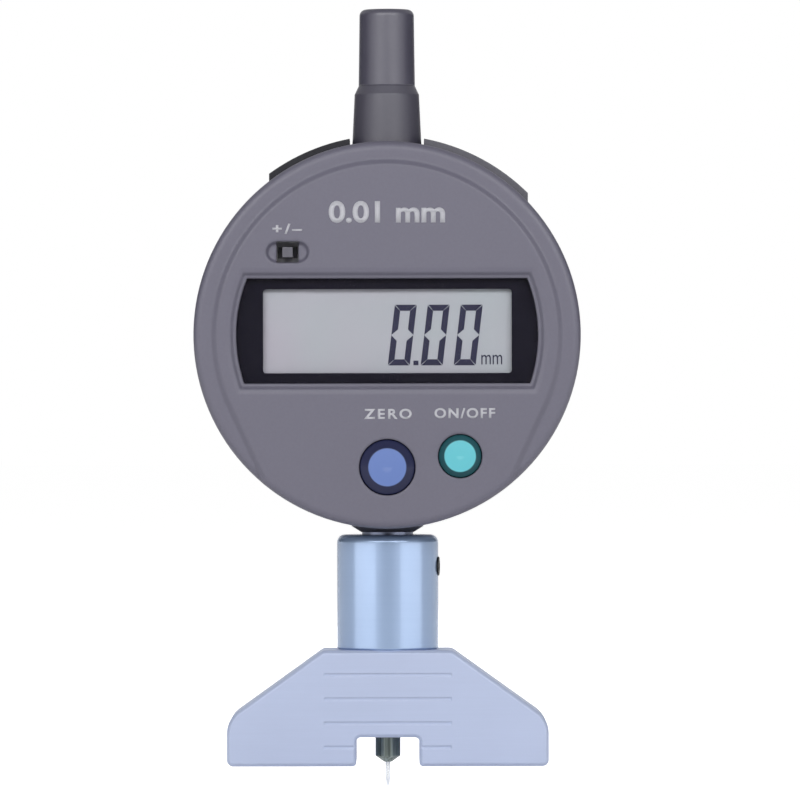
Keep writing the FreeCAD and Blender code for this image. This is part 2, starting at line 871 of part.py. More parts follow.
def main_case():
    ring = disc(case_radius, case_front_y, case_back_y).cut(disc(case_cavity_radius, case_front_y, floor_y))
    parts = [ring, neck()]
    web = top_boss_radius - case_wall / 2.0
    parts.append(rod_z(top_boss_radius, upper_bush_z, seat_z).common(
        box(-body_radius, body_radius, case_front_y, case_back_y, upper_bush_z, seat_z)))
    parts.append(box(-web, web, 0.0, floor_y, upper_bush_z, body_z + case_cavity_radius))
    parts.append(box(-neck_radius, neck_radius, 0.0, floor_y, body_z - case_cavity_radius, stem_top_z))
    for x, rise in case_boss_places():
        parts.append(rod_y(x, body_z + rise, case_boss_radius, cover_rear_y, floor_y))
    for side in (-1.0, 1.0):
        parts.append(rod_y(side * sensor_post_x, sensor_z, sensor_post_radius, sensor_back_y, floor_y))
        rail = guide_pin_diameter / 2.0 + guide_clearance
        edges = sorted((side * rail, side * (rail + guide_rail_width)))
        parts.append(box(edges[0], edges[1], rail_y, floor_y, carrier_z, carrier_z + guide_rail_length))
    rib = tray_half + tray_clearance
    rest = box(-tray_half / 2.0, tray_half / 2.0, tray_back + tray_clearance, floor_y,
               body_z + battery_radial - tray_half / 2.0, body_z + case_cavity_radius)
    side_rib = box(rib, rib + tray_rib, 0.0, floor_y, body_z + battery_radial - tray_half,
                   body_z + case_cavity_radius - tray_rib)
    short_rib = box(-rib - tray_rib, -rib, 0.0, floor_y, body_z + battery_radial + tray_rib,
                    body_z + case_cavity_radius - tray_rib)
    parts += [swung(rest, tray_angle), swung(side_rib, tray_angle), swung(short_rib, tray_angle)]
    case = fused(parts)
    far = body_z + band_radius + through
    tray_slot = box(-rib, rib, tray_front - tray_clearance, tray_back + tray_clearance,
                    body_z + battery_radial, far)
    side = connector_width / 2.0 + connector_clearance
    notch = box(-side, side, cover_rear_y - through, cover_rear_y + connector_depth + connector_clearance,
                body_z + battery_radial, far)
    cuts = [swung(tray_slot, tray_angle), swung(notch, cover_angle)]
    cuts.append(rod_z(stem_diameter / 2.0 + press_clearance, neck_z - through, stem_top_z + through))
    cuts.append(rod_z(upper_bush_diameter / 2.0 + press_clearance, upper_bush_z - through, seat_z + through))
    for x, rise in case_boss_places():
        z = body_z + rise
        cuts.append(rod_y(x, z, screw_radius + screw_clearance, cover_rear_y - through,
                          case_back_y + through))
        cuts.append(rod_y(x, z, screw_head_radius + screw_clearance,
                          case_back_y - screw_head_height - head_room, case_back_y + through))
    for side in (-1.0, 1.0):
        cuts.append(rod_y(side * sensor_post_x, sensor_z, small_screw_radius, sensor_back_y - through,
                          sensor_back_y + small_screw_bite + thread_room))
    for x, z in plate_screw_places():
        cuts.append(rod_y(x, z, screw_radius, case_back_y - plate_screw_bite - thread_room,
                          case_back_y + through))
    cuts.append(rod_y(spring_x, spring_eye_low_z, spring_pin_radius + press_clearance, floor_y - through,
                      floor_y + case_floor / 2.0))
    for tool in cuts:
        case = case.cut(tool)
    return case


def case_screws():
    screws = []
    seat = case_back_y - screw_head_height - head_room
    for x, rise in case_boss_places():
        screws.append(headed_screw(x, body_z + rise, screw_radius, screw_head_radius, screw_head_height,
                                   cover_rear_y - case_screw_bite, seat))
    return Part.makeCompound(screws)


def plate_screw_places():
    places = []
    for angle in plate_screw_angles:
        a = math.radians(angle)
        places.append((plate_screw_circle * math.cos(a), body_z + plate_screw_circle * math.sin(a)))
    return places


def back_gasket():
    opening = disc(plate_radius - gasket_width, case_back_y, plate_y)
    return disc(plate_radius, case_back_y, plate_y).cut(opening)


def countersunk(x, z, clearance, tip_y):
    head = plate_head_radius + clearance
    shank = screw_radius + clearance
    seat = body_back - plate_head_height
    corners = [(0.0, tip_y), (shank, tip_y), (shank, seat), (head, body_back), (0.0, body_back)]
    return turned_y(corners, x, z)


def back_plate():
    plate = disc(plate_radius, plate_y, body_back)
    rim = [e for e in plate.Edges if e.Closed and abs(e.BoundBox.YMax - body_back) < 0.001]
    plate = plate.makeChamfer(plate_chamfer, rim)
    for x, z in plate_screw_places():
        plate = plate.cut(countersunk(x, z, press_clearance, plate_y - through))
    return plate


def back_screws():
    screws = []
    for x, z in plate_screw_places():
        screw = countersunk(x, z, -press_clearance, case_back_y - plate_screw_bite)
        slot = face_box(x, z, 2.0 * plate_head_radius + through, plate_head_radius / 4.0,
                        body_back - plate_head_height / 2.0, body_back)
        screws.append(screw.cut(slot))
    return Part.makeCompound(screws)


def spindle():
    radius = spindle_diameter / 2.0
    c = spindle_chamfer
    rod = turned_z([
        (0.0, spindle_foot), (radius - c, spindle_foot), (radius, spindle_foot + c),
        (radius, spindle_top_z - c), (radius - c, spindle_top_z), (0.0, spindle_top_z),
    ])
    socket = spindle_foot + holder_stud_length + socket_room
    return rod.cut(rod_z(holder_stud_diameter / 2.0, spindle_foot - through, socket))


def needle_holder():
    radius = holder_diameter / 2.0
    stud = holder_stud_diameter / 2.0 - press_clearance
    body = turned_z([
        (0.0, holder_nose), (holder_nose_radius, holder_nose), (radius, holder_corner),
        (radius, spindle_foot), (stud, spindle_foot), (stud, spindle_foot + holder_stud_length),
        (0.0, spindle_foot + holder_stud_length),
    ])
    return body.cut(rod_z(needle_diameter / 2.0 + press_clearance, holder_nose - through, needle_root))


def needle():
    radius = needle_diameter / 2.0
    return turned_z([
        (0.0, -needle_reach), (needle_tip_radius, -needle_reach), (radius, needle_taper - needle_reach),
        (radius, needle_root), (0.0, needle_root),
    ])


def bump_stop():
    bore = spindle_diameter / 2.0 + stop_clearance
    return rod_z(stem_diameter / 2.0, stem_top_z, stop_top_z).cut(rod_z(bore, stem_top_z, stop_top_z))


def scale_carrier():
    half = carrier_width / 2.0
    block = box(-half, half, -carrier_front, carrier_back, carrier_z, carrier_top_z)
    arm = box(-half - arm_length, -half, arm_back_y - arm_thickness, arm_back_y,
              carrier_top_z - arm_height, carrier_top_z)
    carrier = fused([block, arm])
    carrier = carrier.cut(rod_z(spindle_diameter / 2.0 + press_clearance, carrier_z - through,
                               carrier_top_z + through))
    pin = rod_y(0.0, carrier_z + guide_pin_height, guide_pin_diameter / 2.0 + press_clearance,
                carrier_back - guide_pin_sink, carrier_back + through)
    hook = rod_y(spring_x, spring_eye_top_z, spring_pin_radius + press_clearance, hook_y,
                 arm_back_y + through)
    thread = carrier_screw_rod(screw_radius + press_clearance, 0.0, half + through)
    return carrier.cut(pin).cut(hook).cut(thread)


def carrier_screw_rod(radius, x0, x1):
    z = (carrier_z + carrier_top_z) / 2.0
    return Part.makeCylinder(radius, x1 - x0, point(x0, 0, z), point(1, 0, 0))


def carrier_screw():
    return carrier_screw_rod(screw_radius, spindle_diameter / 2.0 + press_clearance, carrier_width / 2.0)


def scale():
    return box(-scale_width / 2.0, scale_width / 2.0, scale_y, -carrier_front, carrier_z, scale_top_z)


def guide_pin():
    return rod_y(0.0, carrier_z + guide_pin_height, guide_pin_diameter / 2.0, carrier_back - guide_pin_sink,
                 floor_y - stop_clearance)


def spring_pin():
    """Pin in the carrier's arm that the spring's upper eye hangs on."""
    return rod_y(spring_x, spring_eye_top_z, spring_pin_radius, hook_y, spring_y + spring_pin_reach / 2.0)


def spring_post():
    """Post in the case's floor that the spring's lower eye hangs on."""
    return rod_y(spring_x, spring_eye_low_z, spring_pin_radius, spring_y - spring_pin_reach / 2.0,
                 floor_y + case_floor / 2.0)


def return_spring():
    """Close-wound tension spring: its coils as one tube, with an eye at each end."""
    wire = spring_wire / 2.0
    eye = spring_pin_radius + spring_eye_gap + wire
    low = spring_eye_low_z + eye
    high = spring_eye_top_z - eye
    inner = spring_radius - spring_wire
    tube = rod_z(spring_radius, low, high).cut(rod_z(inner, low, high))
    tube.translate(point(spring_x, spring_y, 0))
    eyes = []
    for z, side in ((spring_eye_low_z, 1.0), (spring_eye_top_z, -1.0)):
        ring = rod_y(spring_x, z, eye + wire, spring_y - wire, spring_y + wire)
        ring = ring.cut(rod_y(spring_x, z, eye - wire, spring_y - wire, spring_y + wire))
        seat = z + side * eye
        bar = box(spring_x - inner - wire, spring_x + inner + wire, spring_y - wire, spring_y + wire,
                  seat - wire / 2.0, seat + wire / 2.0)
        eyes += [ring, bar]
    return fused([tube] + eyes)


def collar():
    spigot_top = collar_top_z + collar_spigot_length
    bore = collar_bore / 2.0
    seat = upper_bush_diameter / 2.0 + press_clearance
    roof = upper_bush_top_z + collar_roof_gap
    return turned_z([
        (collar_foot_radius, seat_z), (collar_shoulder_radius, collar_top_z - collar_chamfer),
        (collar_top_radius, collar_top_z), (collar_spigot_radius, collar_top_z),
        (collar_spigot_radius, spigot_top), (bore, spigot_top), (bore, roof), (seat, roof), (seat, seat_z),
    ])


def spindle_cap():
    """Tapered cap over the spindle's upper end, pushed onto the collar's spigot."""
    bore = cap_bore / 2.0
    seat = collar_spigot_radius + cap_clearance
    seat_top = collar_top_z + collar_spigot_length + cap_spigot_gap
    start = point(cap_top_radius, 0, cap_top_z - cap_round)
    end = point(cap_top_radius - cap_round, 0, cap_top_z)
    corner = cap_round * (1.0 - math.sqrt(0.5))
    edges = [
        line(point(seat, 0, collar_top_z), point(cap_foot_radius, 0, collar_top_z)),
        line(point(cap_foot_radius, 0, collar_top_z), start),
        arc(start, point(cap_top_radius - corner, 0, cap_top_z - corner), end),
        line(end, point(0, 0, cap_top_z)),
        line(point(0, 0, cap_top_z), point(0, 0, cap_roof_z)),
        line(point(0, 0, cap_roof_z), point(bore, 0, cap_roof_z)),
        line(point(bore, 0, cap_roof_z), point(bore, 0, seat_top)),
        line(point(bore, 0, seat_top), point(seat, 0, seat_top)),
        line(point(seat, 0, seat_top), point(seat, 0, collar_top_z)),
    ]
    return turned_edges(edges)


def band(x0, x1):
    """A raised cover that hugs the case between two upright end faces."""
    ring = disc(band_radius, band_front_y, band_back_y)
    ring = ring.cut(disc(case_radius + band_gap, band_front_y, band_back_y))
    return ring.common(box(x0, x1, band_front_y, band_back_y, body_z, body_z + band_radius))


def battery_tray():
    half = tray_half
    centre = body_z + battery_radial
    drawer = fused([
        box(-half, half, tray_front, tray_back, centre, body_z + case_radius),
        rod_y(0.0, centre, half, tray_front, tray_back),
    ])
    drawer = drawer.cut(rod_y(0.0, centre, battery_diameter / 2.0 + battery_fit, tray_front - through,
                              tray_back - tray_floor))
    slot = box(-contact_slot / 2.0, contact_slot / 2.0, tray_front - through, tray_front + contact_slot,
               centre - half - through, centre)
    drawer = drawer.cut(slot)
    drawer = drawer.common(disc(case_radius - band_gap, tray_front, tray_back))
    link = box(-half, half, tray_front, tray_back, body_z + case_radius - case_wall, body_z + body_radius)
    link = link.common(disc(case_radius + band_rise / 2.0, tray_front, tray_back))
    cover = band(collar_foot_radius + band_collar_gap, tray_end_x)
    return fused([swung(drawer, tray_angle), swung(link, tray_angle), cover])


def battery():
    centre = body_z + battery_radial
    front = tray_front + battery_fit
    can = rod_y(0.0, centre, battery_diameter / 2.0, front + battery_cap_height, front + battery_thickness)
    cap = rod_y(0.0, centre, battery_cap_radius, front, front + battery_cap_height)
    return swung(fused([can, cap]), tray_angle)


def battery_contact_minus():
    """Leaf spring from the board to the cell's front face."""
    top = tray_front - battery_fit
    t = contact_thickness
    foot = battery_radial - tray_half + contact_tray_gap
    knee = foot + contact_foot
    tip = battery_radial
    bend = contact_bend
    corners = [
        (foot, cover_rear_y), (knee, cover_rear_y), (tip, top - t), (tip + bend, top - t),
        (tip + 2.0 * bend, top - bend - t), (tip + 2.0 * bend, top - bend), (tip + bend, top),
        (tip - t / 2.0, top), (knee - t / 2.0, cover_rear_y + t), (foot, cover_rear_y + t),
    ]
    return swung(strip(corners, contact_width), tray_angle)


def battery_contact_plus():
    """Finger from the board to the cell's rim, through the slot in the tray's inner end."""
    rim = battery_radial - battery_diameter / 2.0 - battery_fit
    t = contact_thickness
    rise = tray_front + contact_slot - 2.0 * contact_thickness
    corners = [
        (rim - contact_foot, cover_rear_y), (rim, cover_rear_y), (rim, rise), (rim - t, rise),
        (rim - t, cover_rear_y + t), (rim - contact_foot, cover_rear_y + t),
    ]
    return swung(strip(corners, contact_width), tray_angle)


def data_connector():
    half = connector_width / 2.0
    outer = body_z + case_cavity_radius
    w = connector_wall
    shell = box(-half, half, cover_rear_y, cover_rear_y + connector_depth, outer - connector_length, outer)
    mouth = box(-half + w, half - w, cover_rear_y + w, cover_rear_y + connector_depth - w,
                outer - connector_length / 2.0, outer)
    tongue_y = cover_rear_y + connector_depth / 2.0
    tongue = box(-half + 2.0 * w, half - 2.0 * w, tongue_y - w, tongue_y + w,
                 outer - connector_length, outer - w)
    return swung(fused([shell.cut(mouth), tongue]), cover_angle)


def connector_cover():
    half = connector_width / 2.0
    top = body_z + case_radius + band_rise / 2.0
    plug = box(-half, half, case_front_y + connector_clearance, cover_rear_y + connector_depth,
               top - plug_length, top)
    plug = plug.common(disc(case_radius + band_rise / 2.0, case_front_y, case_back_y))
    return fused([swung(plug, cover_angle), band(cover_end_x, -collar_foot_radius - band_collar_gap)])


pieces = {
    "base_block": base_block,
    "base_sleeve": base_sleeve,
    "clamp_screw": clamp_screw,
    "stem": stem,
    "lower_bush": lower_bush,
    "upper_bush": upper_bush,
    "front_cover": front_cover,
    "lens": lens,
    "lens_film": lens_film,
    "lcd_frame": lcd_frame,
    "lcd_panel": lcd_panel,
    "lcd_contact_strips": lcd_contact_strips,
    "main_board": main_board,
    "board_screws": board_screws,
    "key_domes": key_domes,
    "processor_chip": processor_chip,
    "board_link": board_link,
    "sensor_board": sensor_board,
    "sensor_screws": sensor_screws,
    "zero_button": zero_button,
    "power_button": power_button,
    "sign_switch": sign_switch,
    "switch_body": switch_body,
    "case_seal": case_seal,
    "main_case": main_case,
    "case_screws": case_screws,
    "back_gasket": back_gasket,
    "back_plate": back_plate,
    "back_screws": back_screws,
    "spindle": spindle,
    "needle_holder": needle_holder,
    "needle": needle,
    "bump_stop": bump_stop,
    "scale_carrier": scale_carrier,
    "carrier_screw": carrier_screw,
    "scale": scale,
    "guide_pin": guide_pin,
    "spring_pin": spring_pin,
    "spring_post": spring_post,
    "return_spring": return_spring,
    "collar": collar,
    "spindle_cap": spindle_cap,
    "battery_tray": battery_tray,
    "battery": battery,
    "battery_contact_minus": battery_contact_minus,
    "battery_contact_plus": battery_contact_plus,
    "data_connector": data_connector,
    "connector_cover": connector_cover,
}

os.makedirs("parts", exist_ok=True)
for name, make in pieces.items():
    shape = make()
    shape.exportStep("parts/" + name + ".step")
    print(name, len(shape.Solids), round(shape.Volume, 2), shape.isValid())
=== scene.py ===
import math

import bmesh
import bpy
from mathutils import Matrix, Vector


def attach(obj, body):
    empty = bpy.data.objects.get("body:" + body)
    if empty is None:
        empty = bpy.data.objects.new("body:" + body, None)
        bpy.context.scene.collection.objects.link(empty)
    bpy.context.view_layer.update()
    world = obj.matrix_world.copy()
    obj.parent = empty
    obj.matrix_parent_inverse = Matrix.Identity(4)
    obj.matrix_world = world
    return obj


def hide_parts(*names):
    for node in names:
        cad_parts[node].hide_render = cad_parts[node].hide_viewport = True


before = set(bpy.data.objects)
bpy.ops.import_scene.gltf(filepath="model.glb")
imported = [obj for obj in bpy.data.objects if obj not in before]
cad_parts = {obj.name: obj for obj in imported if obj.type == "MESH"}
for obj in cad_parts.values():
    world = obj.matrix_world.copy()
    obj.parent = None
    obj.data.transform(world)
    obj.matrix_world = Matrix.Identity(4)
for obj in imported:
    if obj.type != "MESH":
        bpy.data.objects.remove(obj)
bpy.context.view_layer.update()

scene = bpy.context.scene
mm = 0.001

# Camera
# A long lens stands level in front of the dial, a touch to the right of the spindle's axis, so
# the gauge is seen almost without perspective. The picture is turned a tenth of a degree, and
# its width is that of the view at the dial.
camera_distance = 1.2
camera_x = 1.98 * mm
camera_z = 56.9 * mm
camera_turn = 0.1
view_width = 124.0 * mm
view_depth = 1.19
sensor_width = 36.0
camera_data = bpy.data.cameras.new("camera")
camera_data.sensor_width = sensor_width
camera_data.lens = sensor_width * view_depth / view_width
camera = bpy.data.objects.new("camera", camera_data)
camera.location = (camera_x, -camera_distance, camera_z)
camera.rotation_euler = (math.radians(90.0), math.radians(camera_turn), 0.0)
scene.collection.objects.link(camera)
scene.camera = camera
scene.view_settings.view_transform = "Standard"

# Studio lights
# Two wide soft lights stand in front, left and right, and two more light the back without a
# glint on the edges. A low strip on each side shows only in the turned steel and in gloss.
body_aim = Vector((0.0, 0.0, 60.0 * mm))
base_aim = Vector((0.0, 0.0, 8.0 * mm))
lamp_elevation = 25.0
lamp_distance = 0.9
lamp_height = 0.3
key_azimuth = 25.0
key_width = 0.66
key_radiance = 5.0
back_azimuth = 160.0
back_width = 0.6
back_radiance = 4.0
strip_azimuth = 54.5
strip_shift = 1.5
strip_distance = 0.45
strip_width = 0.46
strip_height = 0.1
strip_radiance = 2.0


def soft_light(name, target, azimuth, elevation, distance, width, height, radiance):
    """An area light of a given radiance; azimuth 0 is the camera's side and grows to the right."""
    data = bpy.data.lights.new(name, "AREA")
    data.shape = "RECTANGLE"
    data.size = width
    data.size_y = height
    data.energy = math.pi * radiance * width * height
    light = bpy.data.objects.new(name, data)
    round_angle = math.radians(azimuth)
    up_angle = math.radians(elevation)
    away = Vector((math.sin(round_angle) * math.cos(up_angle), -math.cos(round_angle) * math.cos(up_angle),
                   math.sin(up_angle)))
    light.location = target + distance * away
    light.rotation_euler = away.to_track_quat("Z", "Y").to_euler()
    scene.collection.objects.link(light)
    return light


for side in (-1.0, 1.0):
    soft_light("key_light", body_aim, side * key_azimuth, lamp_elevation, lamp_distance,
               key_width, lamp_height, key_radiance)
    back_light = soft_light("back_light", body_aim, side * back_azimuth, lamp_elevation, lamp_distance,
                            back_width, lamp_height, back_radiance)
    back_light.visible_glossy = False
    strip_light = soft_light("strip_light", base_aim, side * strip_azimuth + strip_shift, 0.0,
                             strip_distance, strip_width, strip_height, strip_radiance)
    strip_light.visible_diffuse = False

# Surroundings
# White paper all round: the camera sees it at full strength, and metal and glass see it fade
# above the table. It gives the rest of the light softly. A grey card behind the camera and a dark
# flag on each side, above the base, show only in gloss and through glass.
room_light = 0.14
low_reflection = 1.0
sky_reflection = 0.5
fade_start = 0.05
fade_end = 0.5
world = bpy.data.worlds.new("paper_room")
scene.world = world
world.use_nodes = True
tree = world.node_tree
background = tree.nodes["Background"]
background.inputs["Color"].default_value = (1.0, 1.0, 1.0, 1.0)
rays = tree.nodes.new("ShaderNodeLightPath")
direction = tree.nodes.new("ShaderNodeTexCoord")
height = tree.nodes.new("ShaderNodeSeparateXYZ")
fade = tree.nodes.new("ShaderNodeMapRange")
fade.inputs["From Min"].default_value = fade_start
fade.inputs["From Max"].default_value = fade_end
fade.inputs["To Min"].default_value = low_reflection
fade.inputs["To Max"].default_value = sky_reflection
mirrored = tree.nodes.new("ShaderNodeMath")
mirrored.operation = "MAXIMUM"
reflected = tree.nodes.new("ShaderNodeMix")
reflected.inputs[2].default_value = room_light
strength = tree.nodes.new("ShaderNodeMix")
strength.inputs[3].default_value = 1.0
tree.links.new(direction.outputs["Generated"], height.inputs[0])
tree.links.new(height.outputs["Z"], fade.inputs["Value"])
tree.links.new(rays.outputs["Is Glossy Ray"], mirrored.inputs[0])
tree.links.new(rays.outputs["Is Transmission Ray"], mirrored.inputs[1])
tree.links.new(mirrored.outputs[0], reflected.inputs[0])
tree.links.new(fade.outputs["Result"], reflected.inputs[3])
tree.links.new(rays.outputs["Is Camera Ray"], strength.inputs[0])
tree.links.new(reflected.outputs[0], strength.inputs[2])
tree.links.new(strength.outputs[0], background.inputs["Strength"])

# Floor
# A sheet of white paper just under the needle's tip. It is lit as paper is, so it keeps the
# gauge's shadow, and its own white is lifted for the camera and, less, for reflections.
floor_z = -3.6 * mm
floor_half = 6.0
paper_white = 0.9
camera_lift = 0.87
mirror_lift = 0.45


def flat_sheet(name, corners):
    """One flat face of the surroundings, which isn't part of the gauge."""
    mesh = bpy.data.meshes.new(name)
    mesh.from_pydata(corners, [], [(0, 1, 2, 3)])
    sheet = bpy.data.objects.new(name, mesh)
    scene.collection.objects.link(sheet)
    return sheet


floor = flat_sheet("floor", [(-floor_half, -floor_half, floor_z), (floor_half, -floor_half, floor_z),
                             (floor_half, floor_half, floor_z), (-floor_half, floor_half, floor_z)])
paper = bpy.data.materials.new("white_paper")
paper.use_nodes = True
tree = paper.node_tree
shader = tree.nodes["Principled BSDF"]
shader.inputs["Base Color"].default_value = (paper_white, paper_white, paper_white, 1.0)
shader.inputs["Roughness"].default_value = 1.0
shader.inputs["Specular IOR Level"].default_value = 0.0
shader.inputs["Emission Color"].default_value = (1.0, 1.0, 1.0, 1.0)
rays = tree.nodes.new("ShaderNodeLightPath")
mirrored = tree.nodes.new("ShaderNodeMath")
mirrored.operation = "MULTIPLY"
mirrored.inputs[1].default_value = mirror_lift
lift = tree.nodes.new("ShaderNodeMath")
lift.operation = "MULTIPLY_ADD"
lift.inputs[1].default_value = camera_lift
tree.links.new(rays.outputs["Is Glossy Ray"], mirrored.inputs[0])
tree.links.new(rays.outputs["Is Camera Ray"], lift.inputs[0])
tree.links.new(mirrored.outputs[0], lift.inputs[2])
tree.links.new(lift.outputs[0], shader.inputs["Emission Strength"])
floor.data.materials.append(paper)


def reflected_card(name, corners, grey):
    """A card that only metal, gloss and glass see."""
    card = flat_sheet(name, corners)
    paint = bpy.data.materials.new(name)
    paint.use_nodes = True
    shader = paint.node_tree.nodes["Principled BSDF"]
    shader.inputs["Base Color"].default_value = (grey, grey, grey, 1.0)
    shader.inputs["Roughness"].default_value = 1.0
    card.data.materials.append(paint)
    card.visible_camera = False
    card.visible_diffuse = False
    card.visible_shadow = False


card_grey = 0.2
card_half = 0.32
card_y = -camera_distance - 0.1
reflected_card("grey_card", [(-card_half, card_y, -card_half), (card_half, card_y, -card_half),
                             (card_half, card_y, card_half), (-card_half, card_y, card_half)], card_grey)
flag_grey = 0.04
flag_x = 0.28
flag_front_y = -0.06
flag_back_y = 0.55
flag_foot_z = 60.0 * mm
flag_head_z = 0.22
for x in (-flag_x, flag_x):
    reflected_card("dark_flag", [(x, flag_front_y, flag_foot_z), (x, flag_back_y, flag_foot_z),
                                 (x, flag_back_y, flag_head_z), (x, flag_front_y, flag_head_z)], flag_grey)

# Base block
# The T-shaped foot that stands on the work: tool steel, ground flat and satin plated, with four
# faint lines across its front. Its plating shows a fine level grain, and its edges are painted
# lighter, partly as wear and partly as a painted highlight.


def tone(red, green, blue):
    """A colour as it looks on screen, 0 to 255, as the linear colour that a shader takes."""
    linear = []
    for value in (red, green, blue):
        share = value / 255.0
        linear.append(share / 12.92 if share <= 0.04045 else ((share + 0.055) / 1.055) ** 2.4)
    return (*linear, 1.0)


def effect_group(name, inputs, outputs):
    """An empty shader group: inputs are (name, kind, value) and outputs are (name, kind)."""
    group = bpy.data.node_groups.new(name, "ShaderNodeTree")
    for label, kind, value in inputs:
        socket = group.interface.new_socket(label, in_out="INPUT", socket_type="NodeSocket" + kind)
        socket.default_value = value
    for label, kind in outputs:
        group.interface.new_socket(label, in_out="OUTPUT", socket_type="NodeSocket" + kind)
    return group, group.nodes.new("NodeGroupInput"), group.nodes.new("NodeGroupOutput")


def add_node(tree, kind, **settings):
    """A shader node with its settings."""
    node = tree.nodes.new("ShaderNode" + kind)
    for key, value in settings.items():
        setattr(node, key, value)
    return node


# Grain: streaks or speckles of any length, as a shade from 0 to 1 and as a height
grain_group, given, result = effect_group(
    "grain",
    [("Stretch", "Vector", (1000.0, 1000.0, 1000.0)), ("Detail", "Float", 3.0), ("Contrast", "Float", 1.0)],
    [("Shade", "Float"), ("Height", "Float")])
place = add_node(grain_group, "TexCoord")
mapping = add_node(grain_group, "Mapping")
noise = add_node(grain_group, "TexNoise")
noise.inputs["Scale"].default_value = 1.0
centred = add_node(grain_group, "Math", operation="SUBTRACT")
centred.inputs[1].default_value = 0.5
widened = add_node(grain_group, "Math", operation="MULTIPLY_ADD", use_clamp=True)
widened.inputs[2].default_value = 0.5
grain_group.links.new(place.outputs["Object"], mapping.inputs["Vector"])
grain_group.links.new(given.outputs["Stretch"], mapping.inputs["Scale"])
grain_group.links.new(mapping.outputs["Vector"], noise.inputs["Vector"])
grain_group.links.new(given.outputs["Detail"], noise.inputs["Detail"])
grain_group.links.new(noise.outputs["Fac"], centred.inputs[0])
grain_group.links.new(centred.outputs[0], widened.inputs[0])
grain_group.links.new(given.outputs["Contrast"], widened.inputs[1])
grain_group.links.new(widened.outputs[0], result.inputs["Shade"])
grain_group.links.new(noise.outputs["Fac"], result.inputs["Height"])

# Edge wear and highlight: a mask along the edges, broken up by the grain, and the normal of a
# softened edge. The mask marks wear, and on the base block also a painted highlight.
wear_and_highlight_group, given, result = effect_group(
    "edge_wear_and_highlight",
    [("Radius", "Float", 0.0002), ("Break-up", "Float", 900.0), ("Amount", "Float", 1.0)],
    [("Mask", "Float"), ("Normal", "Vector")])
rounded = add_node(wear_and_highlight_group, "Bevel", samples=6)
flat = add_node(wear_and_highlight_group, "NewGeometry")
agree = add_node(wear_and_highlight_group, "VectorMath", operation="DOT_PRODUCT")
turn = add_node(wear_and_highlight_group, "MapRange", clamp=True)
turn.inputs["From Min"].default_value = 0.995
turn.inputs["From Max"].default_value = 0.8
place = add_node(wear_and_highlight_group, "TexCoord")
noise = add_node(wear_and_highlight_group, "TexNoise")
broken = add_node(wear_and_highlight_group, "MapRange", clamp=True)
broken.inputs["From Min"].default_value = 0.35
broken.inputs["From Max"].default_value = 0.6
both = add_node(wear_and_highlight_group, "Math", operation="MULTIPLY")
mask = add_node(wear_and_highlight_group, "Math", operation="MULTIPLY", use_clamp=True)
wear_and_highlight_group.links.new(given.outputs["Radius"], rounded.inputs["Radius"])
wear_and_highlight_group.links.new(rounded.outputs["Normal"], agree.inputs[0])
wear_and_highlight_group.links.new(flat.outputs["Normal"], agree.inputs[1])
wear_and_highlight_group.links.new(agree.outputs["Value"], turn.inputs["Value"])
wear_and_highlight_group.links.new(place.outputs["Object"], noise.inputs["Vector"])
wear_and_highlight_group.links.new(given.outputs["Break-up"], noise.inputs["Scale"])
wear_and_highlight_group.links.new(noise.outputs["Fac"], broken.inputs["Value"])
wear_and_highlight_group.links.new(turn.outputs["Result"], both.inputs[0])
wear_and_highlight_group.links.new(broken.outputs["Result"], both.inputs[1])
wear_and_highlight_group.links.new(both.outputs[0], mask.inputs[0])
wear_and_highlight_group.links.new(given.outputs["Amount"], mask.inputs[1])
wear_and_highlight_group.links.new(mask.outputs[0], result.inputs["Mask"])
wear_and_highlight_group.links.new(rounded.outputs["Normal"], result.inputs["Normal"])

# Handling marks: slow patches where fingers have polished or dulled a surface
marks_group, given, result = effect_group(
    "handling_marks", [("Size", "Float", 120.0), ("Low", "Float", 0.3), ("High", "Float", 0.45)],
    [("Roughness", "Float")])
place = add_node(marks_group, "TexCoord")
noise = add_node(marks_group, "TexNoise")
noise.inputs["Detail"].default_value = 4.0
spread = add_node(marks_group, "MapRange", clamp=True)
spread.inputs["From Min"].default_value = 0.3
spread.inputs["From Max"].default_value = 0.7
marks_group.links.new(place.outputs["Object"], noise.inputs["Vector"])
marks_group.links.new(given.outputs["Size"], noise.inputs["Scale"])
marks_group.links.new(noise.outputs["Fac"], spread.inputs["Value"])
marks_group.links.new(given.outputs["Low"], spread.inputs["To Min"])
marks_group.links.new(given.outputs["High"], spread.inputs["To Max"])
marks_group.links.new(spread.outputs["Result"], result.inputs["Roughness"])


def use_group(tree, group, **values):
    """A group in a material, with values for its inputs; an underscore stands for a space."""
    node = tree.nodes.new("ShaderNodeGroup")
    node.node_tree = group
    for key, value in values.items():
        node.inputs[key.replace("_", " ")].default_value = value
    return node


def mixed(tree, first, second, factor):
    """A colour between two, each a socket or a value."""
    node = add_node(tree, "Mix", data_type="RGBA")
    for socket, value in ((node.inputs[6], first), (node.inputs[7], second), (node.inputs[0], factor)):
        if isinstance(value, bpy.types.NodeSocket):
            tree.links.new(value, socket)
        else:
            socket.default_value = value
    return node.outputs[2]


